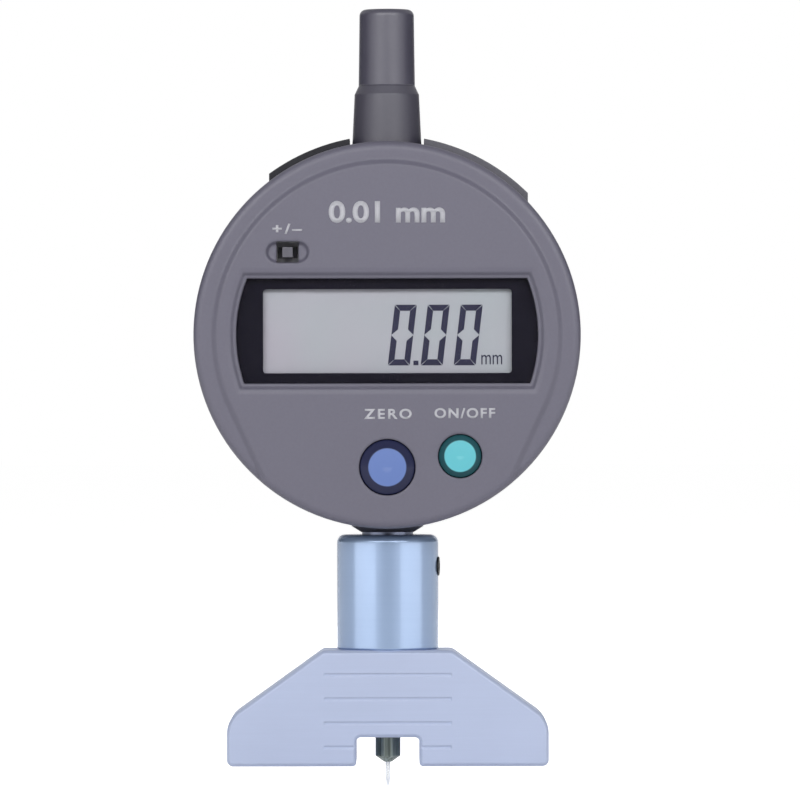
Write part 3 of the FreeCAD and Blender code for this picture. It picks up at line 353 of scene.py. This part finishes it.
def finish(name, colour, shade, wear_and_highlight_tone, roughness, metallic=0.0, stretch=(1500.0, 1500.0, 1500.0), contrast=1.5,
           bump=0.004, edge=0.2, wear_and_highlight=0.5, specular=0.4, detail=3.0, marks=120.0):
    """A finish with grain between two shades, uneven gloss and an edge tone (wear; on the base block also a
    painted highlight).

    Bump is the grain's height and edge the softened edge's radius, both in millimetres. Stretch
    and marks say how fine the grain and the handling marks are, in spots to a metre."""
    material = bpy.data.materials.new(name)
    material.use_nodes = True
    tree = material.node_tree
    shader = tree.nodes["Principled BSDF"]
    shader.inputs["Metallic"].default_value = metallic
    shader.inputs["Specular IOR Level"].default_value = specular
    grain = use_group(tree, grain_group, Stretch=stretch, Detail=detail, Contrast=contrast)
    edges = use_group(tree, wear_and_highlight_group, Radius=edge * mm, Amount=wear_and_highlight)
    gloss = use_group(tree, marks_group, Size=marks, Low=roughness[0], High=roughness[1])
    body = mixed(tree, colour, shade, grain.outputs["Shade"])
    tree.links.new(mixed(tree, body, wear_and_highlight_tone, edges.outputs["Mask"]), shader.inputs["Base Color"])
    tree.links.new(gloss.outputs["Roughness"], shader.inputs["Roughness"])
    relief = add_node(tree, "Bump")
    relief.inputs["Distance"].default_value = bump * mm
    tree.links.new(grain.outputs["Height"], relief.inputs["Height"])
    tree.links.new(edges.outputs["Normal"], relief.inputs["Normal"])
    tree.links.new(relief.outputs["Normal"], shader.inputs["Normal"])
    return material


def dress(material, *names):
    """Gives a finish to CAD pieces."""
    for name in names:
        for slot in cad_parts[name].material_slots:
            slot.material = material


# The lighter edge tone here is partly wear and partly a painted highlight on the edges.
block_finish = finish(
    "plated_block", tone(187, 198, 226), tone(183, 194, 222), tone(210, 217, 236), (0.38, 0.48), metallic=0.2,
    stretch=(90.0, 900.0, 4200.0), contrast=1.3, bump=0.0008, edge=0.3, wear_and_highlight=0.4, specular=0.6, marks=70.0)
dress(block_finish, "base_block")

# Base sleeve
# A turned steel tube pressed into the block, which grips the indicator's stem. It is polished
# on the lathe, so its fine rings run round it and it mirrors the lights as upright bands.
sleeve_finish = finish(
    "turned_sleeve", tone(156, 179, 213), tone(153, 176, 210), tone(166, 186, 214), (0.2, 0.26), metallic=0.3,
    stretch=(60.0, 60.0, 3600.0), contrast=1.2, bump=0.0005, edge=0.15, wear_and_highlight=0.2, specular=1.0, marks=90.0)
dress(sleeve_finish, "base_sleeve")

# Clamp screw
# A black oxide set screw with a hexagon socket in the sleeve's right side. It locks the stem.
screw_finish = finish(
    "black_oxide", tone(36, 37, 40), tone(24, 25, 28), tone(110, 110, 112), (0.35, 0.5), metallic=0.8,
    stretch=(2600.0, 2600.0, 2600.0), bump=0.003, edge=0.1, wear_and_highlight=0.6)
dress(screw_finish, "clamp_screw", "carrier_screw")

# Stem, spindle and needle
# Ground steel: the spindle that slides in the stem is bright, as are the needle, the pins, the
# small screws and the cell's can. The stem and the needle's holder are coloured darker as painted
# shade, for they lie in the shadow of the body and of the block, and the holder's light and dark
# upright streaks are painted reflection. The return spring is a plain tube whose coils are fine
# bands of painted shade and painted highlight.
ground_finish = finish(
    "ground_steel", tone(176, 182, 194), tone(156, 163, 178), tone(226, 229, 235), (0.22, 0.32), metallic=1.0,
    stretch=(80.0, 80.0, 6000.0), contrast=1.6, bump=0.001, edge=0.1, wear_and_highlight=0.4)
dress(ground_finish, "spindle", "guide_pin", "spring_pin", "spring_post",
      "board_screws", "sensor_screws", "case_screws", "battery")
# Bands of painted shade and painted highlight stand for the spring's coils.
coil_band_finish = finish(
    "spring_painted_coils", tone(188, 190, 194), tone(70, 72, 78), tone(206, 208, 212), (0.25, 0.35), metallic=0.95,
    stretch=(10.0, 10.0, 1500.0), contrast=5.0, bump=0.02, edge=0.05, wear_and_highlight=0.2, detail=0.0)
dress(coil_band_finish, "return_spring")
# The stem's darker tone is painted shade.
stem_shade_finish = finish(
    "stem_painted_shade", tone(116, 121, 140), tone(104, 110, 128), tone(136, 141, 154), (0.24, 0.34), metallic=0.9,
    stretch=(80.0, 80.0, 6000.0), contrast=1.6, bump=0.001, edge=0.1, wear_and_highlight=0.3)
dress(stem_shade_finish, "stem")
# The holder's darker tones are painted shade, and its upright streaks painted reflection.
holder_finish = finish(
    "holder_shade_and_reflection", tone(146, 156, 150), tone(84, 94, 88), tone(156, 164, 158), (0.26, 0.34), metallic=0.4,
    stretch=(2100.0, 2100.0, 60.0), contrast=3.2, bump=0.001, edge=0.1, wear_and_highlight=0.4)
dress(holder_finish, "needle_holder")
needle_finish = finish(
    "polished_needle", tone(232, 234, 236), tone(220, 223, 226), tone(240, 241, 243), (0.2, 0.28),
    metallic=0.9, stretch=(120.0, 120.0, 7000.0), bump=0.0006, edge=0.06, wear_and_highlight=0.3)
dress(needle_finish, "needle")

# Front cover
# The round shell that carries the dial: die-cast and painted satin grey, with a raised face, a
# bevelled window, two button holes and a dished switch recess. Screws hold it from behind.
cover_finish = finish(
    "grey_satin_paint", tone(101, 99, 115), tone(97, 95, 111), tone(112, 110, 124), (0.44, 0.5),
    stretch=(2400.0, 2400.0, 2400.0), contrast=1.6, bump=0.005, edge=0.55, wear_and_highlight=0.15, specular=0.7,
    marks=60.0)
dress(cover_finish, "front_cover")

# Case and back plate
# The pot behind the cover with the neck that takes the stem, and the flat plate on its back.
# Both have the cover's grey, set a shade lighter as painted light on the neck, which lies in the
# body's shadow. They sit over a rubber seal that shows as a thin line.
case_finish = finish(
    "case_paint_with_painted_light", tone(106, 105, 118), tone(101, 100, 113), tone(116, 115, 127), (0.44, 0.54),
    stretch=(2000.0, 2000.0, 2000.0), contrast=1.6, bump=0.006, edge=0.3, wear_and_highlight=0.2, specular=0.7, marks=60.0)
dress(case_finish, "main_case", "back_plate")
rubber_finish = finish(
    "black_rubber", tone(30, 30, 33), tone(24, 24, 27), tone(46, 46, 49), (0.65, 0.8),
    stretch=(1800.0, 1800.0, 1800.0), bump=0.004, edge=0.1, wear_and_highlight=0.3, specular=0.25)
dress(rubber_finish, "case_seal", "back_gasket", "bump_stop", "lcd_contact_strips")
back_screw_finish = finish(
    "zinc_screws", tone(168, 170, 174), tone(150, 152, 158), tone(215, 216, 220), (0.3, 0.42), metallic=0.95,
    bump=0.002, edge=0.12, wear_and_highlight=0.5)
dress(back_screw_finish, "back_screws")

# Shoulder covers
# Two curved covers clipped onto the case: grey plastic on the right, over the battery tray, and
# black rubber on the left, over the data connector.
tray_finish = finish(
    "grey_tray_plastic", tone(84, 83, 93), tone(79, 78, 88), tone(98, 97, 106), (0.42, 0.5),
    stretch=(1900.0, 1900.0, 1900.0), bump=0.004, edge=0.3, wear_and_highlight=0.2, specular=0.7)
dress(tray_finish, "battery_tray")
connector_cover_finish = finish(
    "black_cover_rubber", tone(42, 42, 48), tone(36, 36, 42), tone(54, 54, 60), (0.5, 0.62),
    stretch=(1700.0, 1700.0, 1700.0), bump=0.005, edge=0.3, wear_and_highlight=0.35, specular=0.3)
dress(connector_cover_finish, "connector_cover")

# Collar and spindle cap
# Moulded grey plastic over the spindle's upper end: a tapered collar fixed to the case, and a
# cap that pulls off. Both have a satin sheen and slightly polished edges, the collar less gloss.
cap_finish = finish(
    "grey_cap_plastic", tone(72, 70, 86), tone(68, 66, 82), tone(82, 80, 94), (0.38, 0.44),
    stretch=(1700.0, 1700.0, 1700.0), contrast=1.4, bump=0.003, edge=0.25, wear_and_highlight=0.2, specular=1.0)
dress(cap_finish, "spindle_cap")
collar_finish = finish(
    "grey_collar_plastic", tone(68, 66, 80), tone(64, 62, 76), tone(78, 76, 88), (0.42, 0.5),
    stretch=(1700.0, 1700.0, 1700.0), contrast=1.4, bump=0.003, edge=0.25, wear_and_highlight=0.2, specular=0.85)
dress(collar_finish, "collar")

# Window
# A clear acrylic lens over a black printed film, flush in the bevelled window. The film leaves
# the display's opening free, and its front lies a hair behind the lens's back.
film_finish = finish(
    "black_film", tone(26, 24, 36), tone(23, 21, 33), tone(31, 29, 41), (0.3, 0.4),
    stretch=(900.0, 900.0, 900.0), bump=0.0006, edge=0.03, wear_and_highlight=0.2, specular=0.05)
film_gap = 0.02 * mm
weld_distance = 0.0005 * mm
film_shape = bmesh.new()
film_shape.from_mesh(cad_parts["lens_film"].data)
bmesh.ops.remove_doubles(film_shape, verts=film_shape.verts, dist=weld_distance)
film_front = min(vertex.co.y for vertex in film_shape.verts)
for vertex in film_shape.verts:
    if vertex.co.y < film_front + film_gap:
        vertex.co.y += film_gap
film_mesh = bpy.data.meshes.new("window_film")
film_shape.to_mesh(film_mesh)
film_shape.free()
film_mesh.materials.append(film_finish)
film = bpy.data.objects.new("window_film", film_mesh)
scene.collection.objects.link(film)
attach(film, "indicator_on_base")
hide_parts("lens_film")
acrylic = bpy.data.materials.new("clear_acrylic")
acrylic.use_nodes = True
tree = acrylic.node_tree
shader = tree.nodes["Principled BSDF"]
shader.inputs["Base Color"].default_value = (0.97, 0.975, 0.985, 1.0)
shader.inputs["Transmission Weight"].default_value = 1.0
shader.inputs["IOR"].default_value = 1.45
shader.inputs["Specular IOR Level"].default_value = 0.3
gloss = use_group(tree, marks_group, Size=160.0, Low=0.01, High=0.035)
tree.links.new(gloss.outputs["Roughness"], shader.inputs["Roughness"])
dress(acrylic, "lens")
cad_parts["lens"].visible_shadow = False
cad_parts["lens"].visible_diffuse = False

# Display
# A grey liquid crystal glass in a white frame on the board. Its three digits are made of
# segments with mitred ends, leaning a little, and a point and the unit stand beside them.
glass_y = -9.9 * mm
ink_depth = 0.03 * mm
digit_height = 9.4 * mm
digit_width = 3.41 * mm
digit_low_z = 62.26 * mm
digit_lefts = [0.09 * mm, 5.19 * mm, 10.3 * mm]
segment_width = 0.94 * mm
segment_gap = 0.03 * mm
mitre_share = 0.93
digit_slant = math.tan(math.radians(6.8))


def node_tree_with_inputs(name, inputs):
    """A Geometry Nodes tree with named inputs, each (name, kind, value)."""
    group = bpy.data.node_groups.new(name, "GeometryNodeTree")
    group.interface.new_socket("Geometry", in_out="INPUT", socket_type="NodeSocketGeometry")
    for label, kind, value in inputs:
        socket = group.interface.new_socket(label, in_out="INPUT", socket_type="NodeSocket" + kind)
        if value is not None:
            socket.default_value = value
    group.interface.new_socket("Geometry", in_out="OUTPUT", socket_type="NodeSocketGeometry")
    return group, group.nodes.new("NodeGroupInput"), group.nodes.new("NodeGroupOutput")


def run_tree(name, points, group, attributes, values, body):
    """Runs a tree on a set of points and returns its result as a plain mesh object on a body."""
    mesh = bpy.data.meshes.new(name)
    mesh.from_pydata(points, [], [])
    for key, column in attributes.items():
        mesh.attributes.new(key, "FLOAT", "POINT").data.foreach_set("value", column)
    maker = bpy.data.objects.new(name, mesh)
    scene.collection.objects.link(maker)
    modifier = maker.modifiers.new("nodes", "NODES")
    modifier.node_group = group
    for item in group.interface.items_tree:
        if item.in_out == "INPUT" and item.name in values:
            modifier[item.identifier] = values[item.name]
    depsgraph = bpy.context.evaluated_depsgraph_get()
    made = bpy.data.meshes.new_from_object(maker.evaluated_get(depsgraph))
    made.name = name
    maker.modifiers.remove(modifier)
    maker.data = made
    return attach(maker, body)


display_tree, given, result = node_tree_with_inputs("display_segments", [
    ("Upright Length", "Float", 0.004), ("Level Length", "Float", 0.003), ("Segment Width", "Float", 0.0008),
    ("Ink Depth", "Float", 0.00003), ("Slant", "Float", 0.1), ("Foot", "Float", 0.0),
    ("Ink", "Material", None)])


def add_step(kind, **settings):
    """A node of the display's tree with its settings."""
    node = display_tree.nodes.new(kind)
    for key, value in settings.items():
        setattr(node, key, value)
    return node


def segment_shape(length_name):
    """One segment in the display's plane: a bar with its long side below and both ends mitred."""
    both_ends = add_step("ShaderNodeMath", operation="MULTIPLY")
    both_ends.inputs[1].default_value = 2.0 * mitre_share
    short_side = add_step("ShaderNodeMath", operation="SUBTRACT")
    bar = add_step("GeometryNodeCurvePrimitiveQuadrilateral", mode="TRAPEZOID")
    bar.inputs["Offset"].default_value = 0.0
    fill = add_step("GeometryNodeFillCurve")
    display_tree.links.new(given.outputs["Segment Width"], both_ends.inputs[0])
    display_tree.links.new(given.outputs[length_name], short_side.inputs[0])
    display_tree.links.new(both_ends.outputs[0], short_side.inputs[1])
    display_tree.links.new(given.outputs[length_name], bar.inputs["Bottom Width"])
    display_tree.links.new(short_side.outputs[0], bar.inputs["Top Width"])
    display_tree.links.new(given.outputs["Segment Width"], bar.inputs["Height"])
    display_tree.links.new(bar.outputs["Curve"], fill.inputs["Curve"])
    return fill.outputs["Mesh"]


upright_mark = add_step("GeometryNodeInputNamedAttribute", data_type="FLOAT")
upright_mark.inputs["Name"].default_value = "upright"
turn_mark = add_step("GeometryNodeInputNamedAttribute", data_type="FLOAT")
turn_mark.inputs["Name"].default_value = "turn"
turn_vector = add_step("ShaderNodeCombineXYZ")
display_tree.links.new(turn_mark.outputs["Attribute"], turn_vector.inputs["Z"])
turned = add_step("FunctionNodeEulerToRotation")
display_tree.links.new(turn_vector.outputs["Vector"], turned.inputs["Euler"])
is_upright = add_step("FunctionNodeCompare", data_type="FLOAT", operation="GREATER_THAN")
is_upright.inputs["B"].default_value = 0.5
display_tree.links.new(upright_mark.outputs["Attribute"], is_upright.inputs["A"])
is_level = add_step("FunctionNodeBooleanMath", operation="NOT")
display_tree.links.new(is_upright.outputs["Result"], is_level.inputs[0])
together = add_step("GeometryNodeJoinGeometry")
for length_name, chosen in (("Upright Length", is_upright.outputs["Result"]),
                            ("Level Length", is_level.outputs[0])):
    placed = add_step("GeometryNodeInstanceOnPoints")
    display_tree.links.new(given.outputs["Geometry"], placed.inputs["Points"])
    display_tree.links.new(segment_shape(length_name), placed.inputs["Instance"])
    display_tree.links.new(chosen, placed.inputs["Selection"])
    display_tree.links.new(turned.outputs["Rotation"], placed.inputs["Rotation"])
    display_tree.links.new(placed.outputs["Instances"], together.inputs["Geometry"])
real = add_step("GeometryNodeRealizeInstances")
display_tree.links.new(together.outputs["Geometry"], real.inputs["Geometry"])
# the flat ink film gets its depth, then leans to the right and turns to face the reader
raised = add_step("GeometryNodeExtrudeMesh", mode="FACES")
raised.inputs["Individual"].default_value = False
display_tree.links.new(real.outputs["Geometry"], raised.inputs["Mesh"])
display_tree.links.new(given.outputs["Ink Depth"], raised.inputs["Offset Scale"])
under = add_step("GeometryNodeFlipFaces")
display_tree.links.new(real.outputs["Geometry"], under.inputs["Mesh"])
closed = add_step("GeometryNodeJoinGeometry")
display_tree.links.new(under.outputs["Mesh"], closed.inputs["Geometry"])
display_tree.links.new(raised.outputs["Mesh"], closed.inputs["Geometry"])
welded = add_step("GeometryNodeMergeByDistance")
welded.inputs["Distance"].default_value = 0.001 * mm
display_tree.links.new(closed.outputs["Geometry"], welded.inputs["Geometry"])
where = add_step("GeometryNodeInputPosition")
parts = add_step("ShaderNodeSeparateXYZ")
above = add_step("ShaderNodeMath", operation="SUBTRACT")
lean = add_step("ShaderNodeMath", operation="MULTIPLY_ADD")
forward = add_step("ShaderNodeMath", operation="MULTIPLY_ADD")
forward.inputs[1].default_value = -1.0
forward.inputs[2].default_value = glass_y
stood = add_step("ShaderNodeCombineXYZ")
moved = add_step("GeometryNodeSetPosition")
display_tree.links.new(where.outputs["Position"], parts.inputs[0])
display_tree.links.new(parts.outputs["Y"], above.inputs[0])
display_tree.links.new(given.outputs["Foot"], above.inputs[1])
display_tree.links.new(above.outputs[0], lean.inputs[0])
display_tree.links.new(given.outputs["Slant"], lean.inputs[1])
display_tree.links.new(parts.outputs["X"], lean.inputs[2])
display_tree.links.new(parts.outputs["Z"], forward.inputs[0])
display_tree.links.new(lean.outputs[0], stood.inputs["X"])
display_tree.links.new(forward.outputs[0], stood.inputs["Y"])
display_tree.links.new(parts.outputs["Y"], stood.inputs["Z"])
display_tree.links.new(welded.outputs["Geometry"], moved.inputs["Geometry"])
display_tree.links.new(stood.outputs["Vector"], moved.inputs["Position"])
coloured = add_step("GeometryNodeSetMaterial")
display_tree.links.new(moved.outputs["Geometry"], coloured.inputs["Geometry"])
display_tree.links.new(given.outputs["Ink"], coloured.inputs["Material"])
display_tree.links.new(coloured.outputs["Geometry"], result.inputs["Geometry"])

ink_finish = finish(
    "display_ink", tone(46, 45, 70), tone(40, 39, 64), tone(52, 52, 76), (0.45, 0.55),
    stretch=(500.0, 500.0, 500.0), bump=0.0, edge=0.02, wear_and_highlight=0.1, specular=0.2)
reach_x = (digit_width - segment_width) / 2.0
reach_z = (digit_height - segment_width) / 2.0
corner_cut = (1.0 - mitre_share) * segment_width + segment_gap / 2.0
upright_length = (digit_height - segment_gap) / 2.0 - corner_cut
upright_z = (segment_gap + upright_length) / 2.0
centres = []
uprights = []
turns = []
for left in digit_lefts:
    x = left + digit_width / 2.0
    z = digit_low_z + digit_height / 2.0
    for level in (-1.0, 1.0):
        centres.append((x, z + level * reach_z, 0.0))
        uprights.append(0.0)
        turns.append(math.pi * (level + 1.0) / 2.0)
        for side in (-1.0, 1.0):
            centres.append((x + side * reach_x, z + level * upright_z, 0.0))
            uprights.append(1.0)
            turns.append(side * math.pi / 2.0)
digits = run_tree("display_digits", centres, display_tree, {"upright": uprights, "turn": turns}, {
    "Upright Length": upright_length, "Level Length": digit_width - 2.0 * corner_cut,
    "Segment Width": segment_width, "Ink Depth": ink_depth, "Slant": digit_slant, "Foot": digit_low_z,
    "Ink": ink_finish}, "indicator_on_base")


def lettering(name, words, body, material, front_y, depth):
    """Flat printed words in one piece: each is (text, x, z, width, height, boldness, spacing)."""
    whole = bmesh.new()
    for text, x, z, width, height, bold, spacing in words:
        outline = bpy.data.curves.new(name, "FONT")
        outline.body = text
        outline.resolution_u = 6
        outline.offset = bold
        outline.space_character = spacing
        outline.fill_mode = "FRONT"
        writer = bpy.data.objects.new(name, outline)
        scene.collection.objects.link(writer)
        depsgraph = bpy.context.evaluated_depsgraph_get()
        letters = bpy.data.meshes.new_from_object(writer.evaluated_get(depsgraph))
        bpy.data.objects.remove(writer)
        xs = [vertex.co.x for vertex in letters.vertices]
        ys = [vertex.co.y for vertex in letters.vertices]
        wide = width / (max(xs) - min(xs))
        tall = height / (max(ys) - min(ys))
        stood = Matrix.Rotation(math.radians(90.0), 4, "X")
        letters.transform(Matrix.Translation((-(max(xs) + min(xs)) / 2.0, -(max(ys) + min(ys)) / 2.0, 0.0)))
        letters.transform(Matrix.Diagonal((wide, tall, 1.0, 1.0)))
        letters.transform(Matrix.Translation((x, front_y + depth, z)) @ stood)
        whole.from_mesh(letters)
    bmesh.ops.remove_doubles(whole, verts=whole.verts, dist=weld_distance)
    raised_faces = bmesh.ops.extrude_face_region(whole, geom=whole.faces[:])
    top = [item for item in raised_faces["geom"] if isinstance(item, bmesh.types.BMVert)]
    bmesh.ops.translate(whole, verts=top, vec=(0.0, -depth, 0.0))
    bmesh.ops.recalc_face_normals(whole, faces=whole.faces)
    mesh = bpy.data.meshes.new(name)
    whole.to_mesh(mesh)
    whole.free()
    mesh.materials.append(material)
    piece = bpy.data.objects.new(name, mesh)
    scene.collection.objects.link(piece)
    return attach(piece, body)


unit = lettering("display_unit", [("mm", 16.21 * mm, 63.14 * mm, 3.25 * mm, 1.5 * mm, 0.0, 1.0),
                                  ("I", 4.46 * mm, 62.64 * mm, 0.78 * mm, 0.72 * mm, 0.0, 1.0)],
                 "indicator_on_base", ink_finish, glass_y - ink_depth, ink_depth)
glass_finish = finish(
    "display_glass", tone(180, 187, 192), tone(186, 182, 193), tone(187, 188, 195), (0.35, 0.45),
    stretch=(60.0, 60.0, 60.0), contrast=3.0, bump=0.0, edge=0.05, wear_and_highlight=0.1, specular=0.3, detail=1.0)
dress(glass_finish, "lcd_panel")

# Dial printing
# Plain words pad-printed on the face in pale grey ink: the smallest step above the window, the
# sign above its switch, and what each button does.
face_y = -13.0 * mm
print_depth = 0.03 * mm
print_rise = print_depth * 0.8
word_boldness = 0.03
print_finish = finish(
    "pale_print", tone(200, 200, 207), tone(190, 190, 198), tone(206, 206, 211), (0.5, 0.6),
    stretch=(2600.0, 2600.0, 2600.0), contrast=1.6, bump=0.002, edge=0.02, wear_and_highlight=0.2, specular=0.3)
printing = lettering("dial_printing", [
    ("ZERO", 0.1 * mm, 54.75 * mm, 7.4 * mm, 1.6 * mm, word_boldness, 1.3),
    ("ON/OFF", 12.0 * mm, 54.85 * mm, 9.4 * mm, 1.6 * mm, word_boldness, 1.2),
    ("+/–", -15.4 * mm, 83.4 * mm, 4.6 * mm, 1.6 * mm, word_boldness, 1.3),
    ("0.01 mm", 0.0, 86.0 * mm, 18.0 * mm, 3.4 * mm, word_boldness, 1.0)],
    "indicator_on_base", print_finish, face_y - print_rise, print_depth)

# Push buttons
# Moulded caps with a pale crowned top, which press in against domes on the board: blue for zero
# on the axis, and a smaller turquoise one for power. The flank round the top is the same plastic,
# painted dark as painted shade.
# A mask of each button's crowned top; round it the flank is coloured dark as painted shade.
flank_shade_group, given, result = effect_group(
    "button_top_and_shaded_flank",
    [("Centre", "Vector", (0.0, 0.0, 0.0)), ("Top Radius", "Float", 0.003)],
    [("Top", "Float")])
place = add_node(flank_shade_group, "TexCoord")
level = add_node(flank_shade_group, "VectorMath", operation="MULTIPLY")
level.inputs[1].default_value = (1.0, 0.0, 1.0)
away = add_node(flank_shade_group, "VectorMath", operation="DISTANCE")
beyond = add_node(flank_shade_group, "Math", operation="SUBTRACT")
inside = add_node(flank_shade_group, "MapRange", clamp=True)
inside.inputs["From Min"].default_value = 0.05 * mm
inside.inputs["From Max"].default_value = -0.1 * mm
flank_shade_group.links.new(place.outputs["Object"], level.inputs[0])
flank_shade_group.links.new(level.outputs["Vector"], away.inputs[0])
flank_shade_group.links.new(given.outputs["Centre"], away.inputs[1])
flank_shade_group.links.new(away.outputs["Value"], beyond.inputs[0])
flank_shade_group.links.new(given.outputs["Top Radius"], beyond.inputs[1])
flank_shade_group.links.new(beyond.outputs[0], inside.inputs["Value"])
flank_shade_group.links.new(inside.outputs["Result"], result.inputs["Top"])


def button_finish(name, top, flank_shade, centre, top_radius):
    """Moulded plastic in one colour on the crowned top, with painted shade on the flank round it."""
    material = finish(name, top, top, top, (0.35, 0.45), bump=0.003, edge=0.15, wear_and_highlight=0.2)
    tree = material.node_tree
    shader = tree.nodes["Principled BSDF"]
    zones = use_group(tree, flank_shade_group, Centre=centre, Top_Radius=top_radius)
    body = shader.inputs["Base Color"].links[0].from_socket
    tree.links.new(mixed(tree, flank_shade, body, zones.outputs["Top"]), shader.inputs["Base Color"])
    return material


zero_centre = (0.0, 0.0, 46.5 * mm)
zero_top_radius = 2.95 * mm
blue_finish = button_finish(
    "blue_button", tone(106, 131, 193), tone(26, 31, 68), zero_centre, zero_top_radius)
dress(blue_finish, "zero_button")
power_centre = (11.26 * mm, 0.0, 48.2 * mm)
power_top_radius = 2.45 * mm
turquoise_finish = button_finish(
    "turquoise_button", tone(104, 200, 212), tone(32, 86, 94), power_centre, power_top_radius)
dress(turquoise_finish, "power_button")

# Sign switch
# A small grey slider in a dished recess above the window's left end, pushed with a fingertip. It
# runs in a moulded body on the board, painted pale as painted light in the gap round the knob.
knob_finish = finish(
    "switch_knob", tone(92, 91, 101), tone(84, 83, 93), tone(110, 109, 118), (0.4, 0.5),
    stretch=(2400.0, 2400.0, 2400.0), bump=0.003, edge=0.12, wear_and_highlight=0.4, specular=0.6)
dress(knob_finish, "sign_switch")
# The body's pale colour is painted light, so the gap round the knob is lighter than its shade.
dress(finish("switch_body_painted_light", tone(214, 213, 218), tone(206, 205, 210), tone(222, 221, 226), (0.5, 0.6),
             edge=0.1), "switch_body")

# Inner works
# What the closed case hides: boards with their parts, bushes, the carrier with its scale, and
# the battery's contacts. They have the plain finishes of such parts.
dress(finish("white_frame", tone(214, 214, 210), tone(206, 206, 202), tone(225, 225, 222), (0.5, 0.6),
             edge=0.1), "lcd_frame")
dress(finish("green_board", tone(36, 92, 58), tone(30, 80, 50), tone(150, 140, 90), (0.3, 0.42),
             stretch=(700.0, 700.0, 700.0), edge=0.1), "main_board", "sensor_board")
dress(finish("black_plastic", tone(34, 34, 36), tone(28, 28, 30), tone(52, 52, 54), (0.45, 0.55), edge=0.1),
      "processor_chip", "board_link", "data_connector")
dress(finish("turned_brass", tone(190, 152, 84), tone(176, 138, 72), tone(222, 190, 130), (0.25, 0.35),
             metallic=1.0, stretch=(80.0, 80.0, 5000.0), edge=0.1), "lower_bush", "upper_bush")
dress(finish("milled_alloy", tone(190, 192, 196), tone(178, 180, 186), tone(225, 226, 229), (0.3, 0.4),
             metallic=0.95, stretch=(1200.0, 300.0, 300.0), edge=0.15), "scale_carrier")
dress(finish("scale_print", tone(150, 156, 160), tone(60, 64, 70), tone(170, 175, 178), (0.2, 0.3),
             stretch=(10.0, 10.0, 4000.0), contrast=6.0, edge=0.05), "scale")
dress(finish("plated_contact", tone(205, 200, 188), tone(192, 187, 176), tone(228, 225, 216), (0.2, 0.3),
             metallic=1.0, edge=0.05), "key_domes", "battery_contact_minus", "battery_contact_plus")
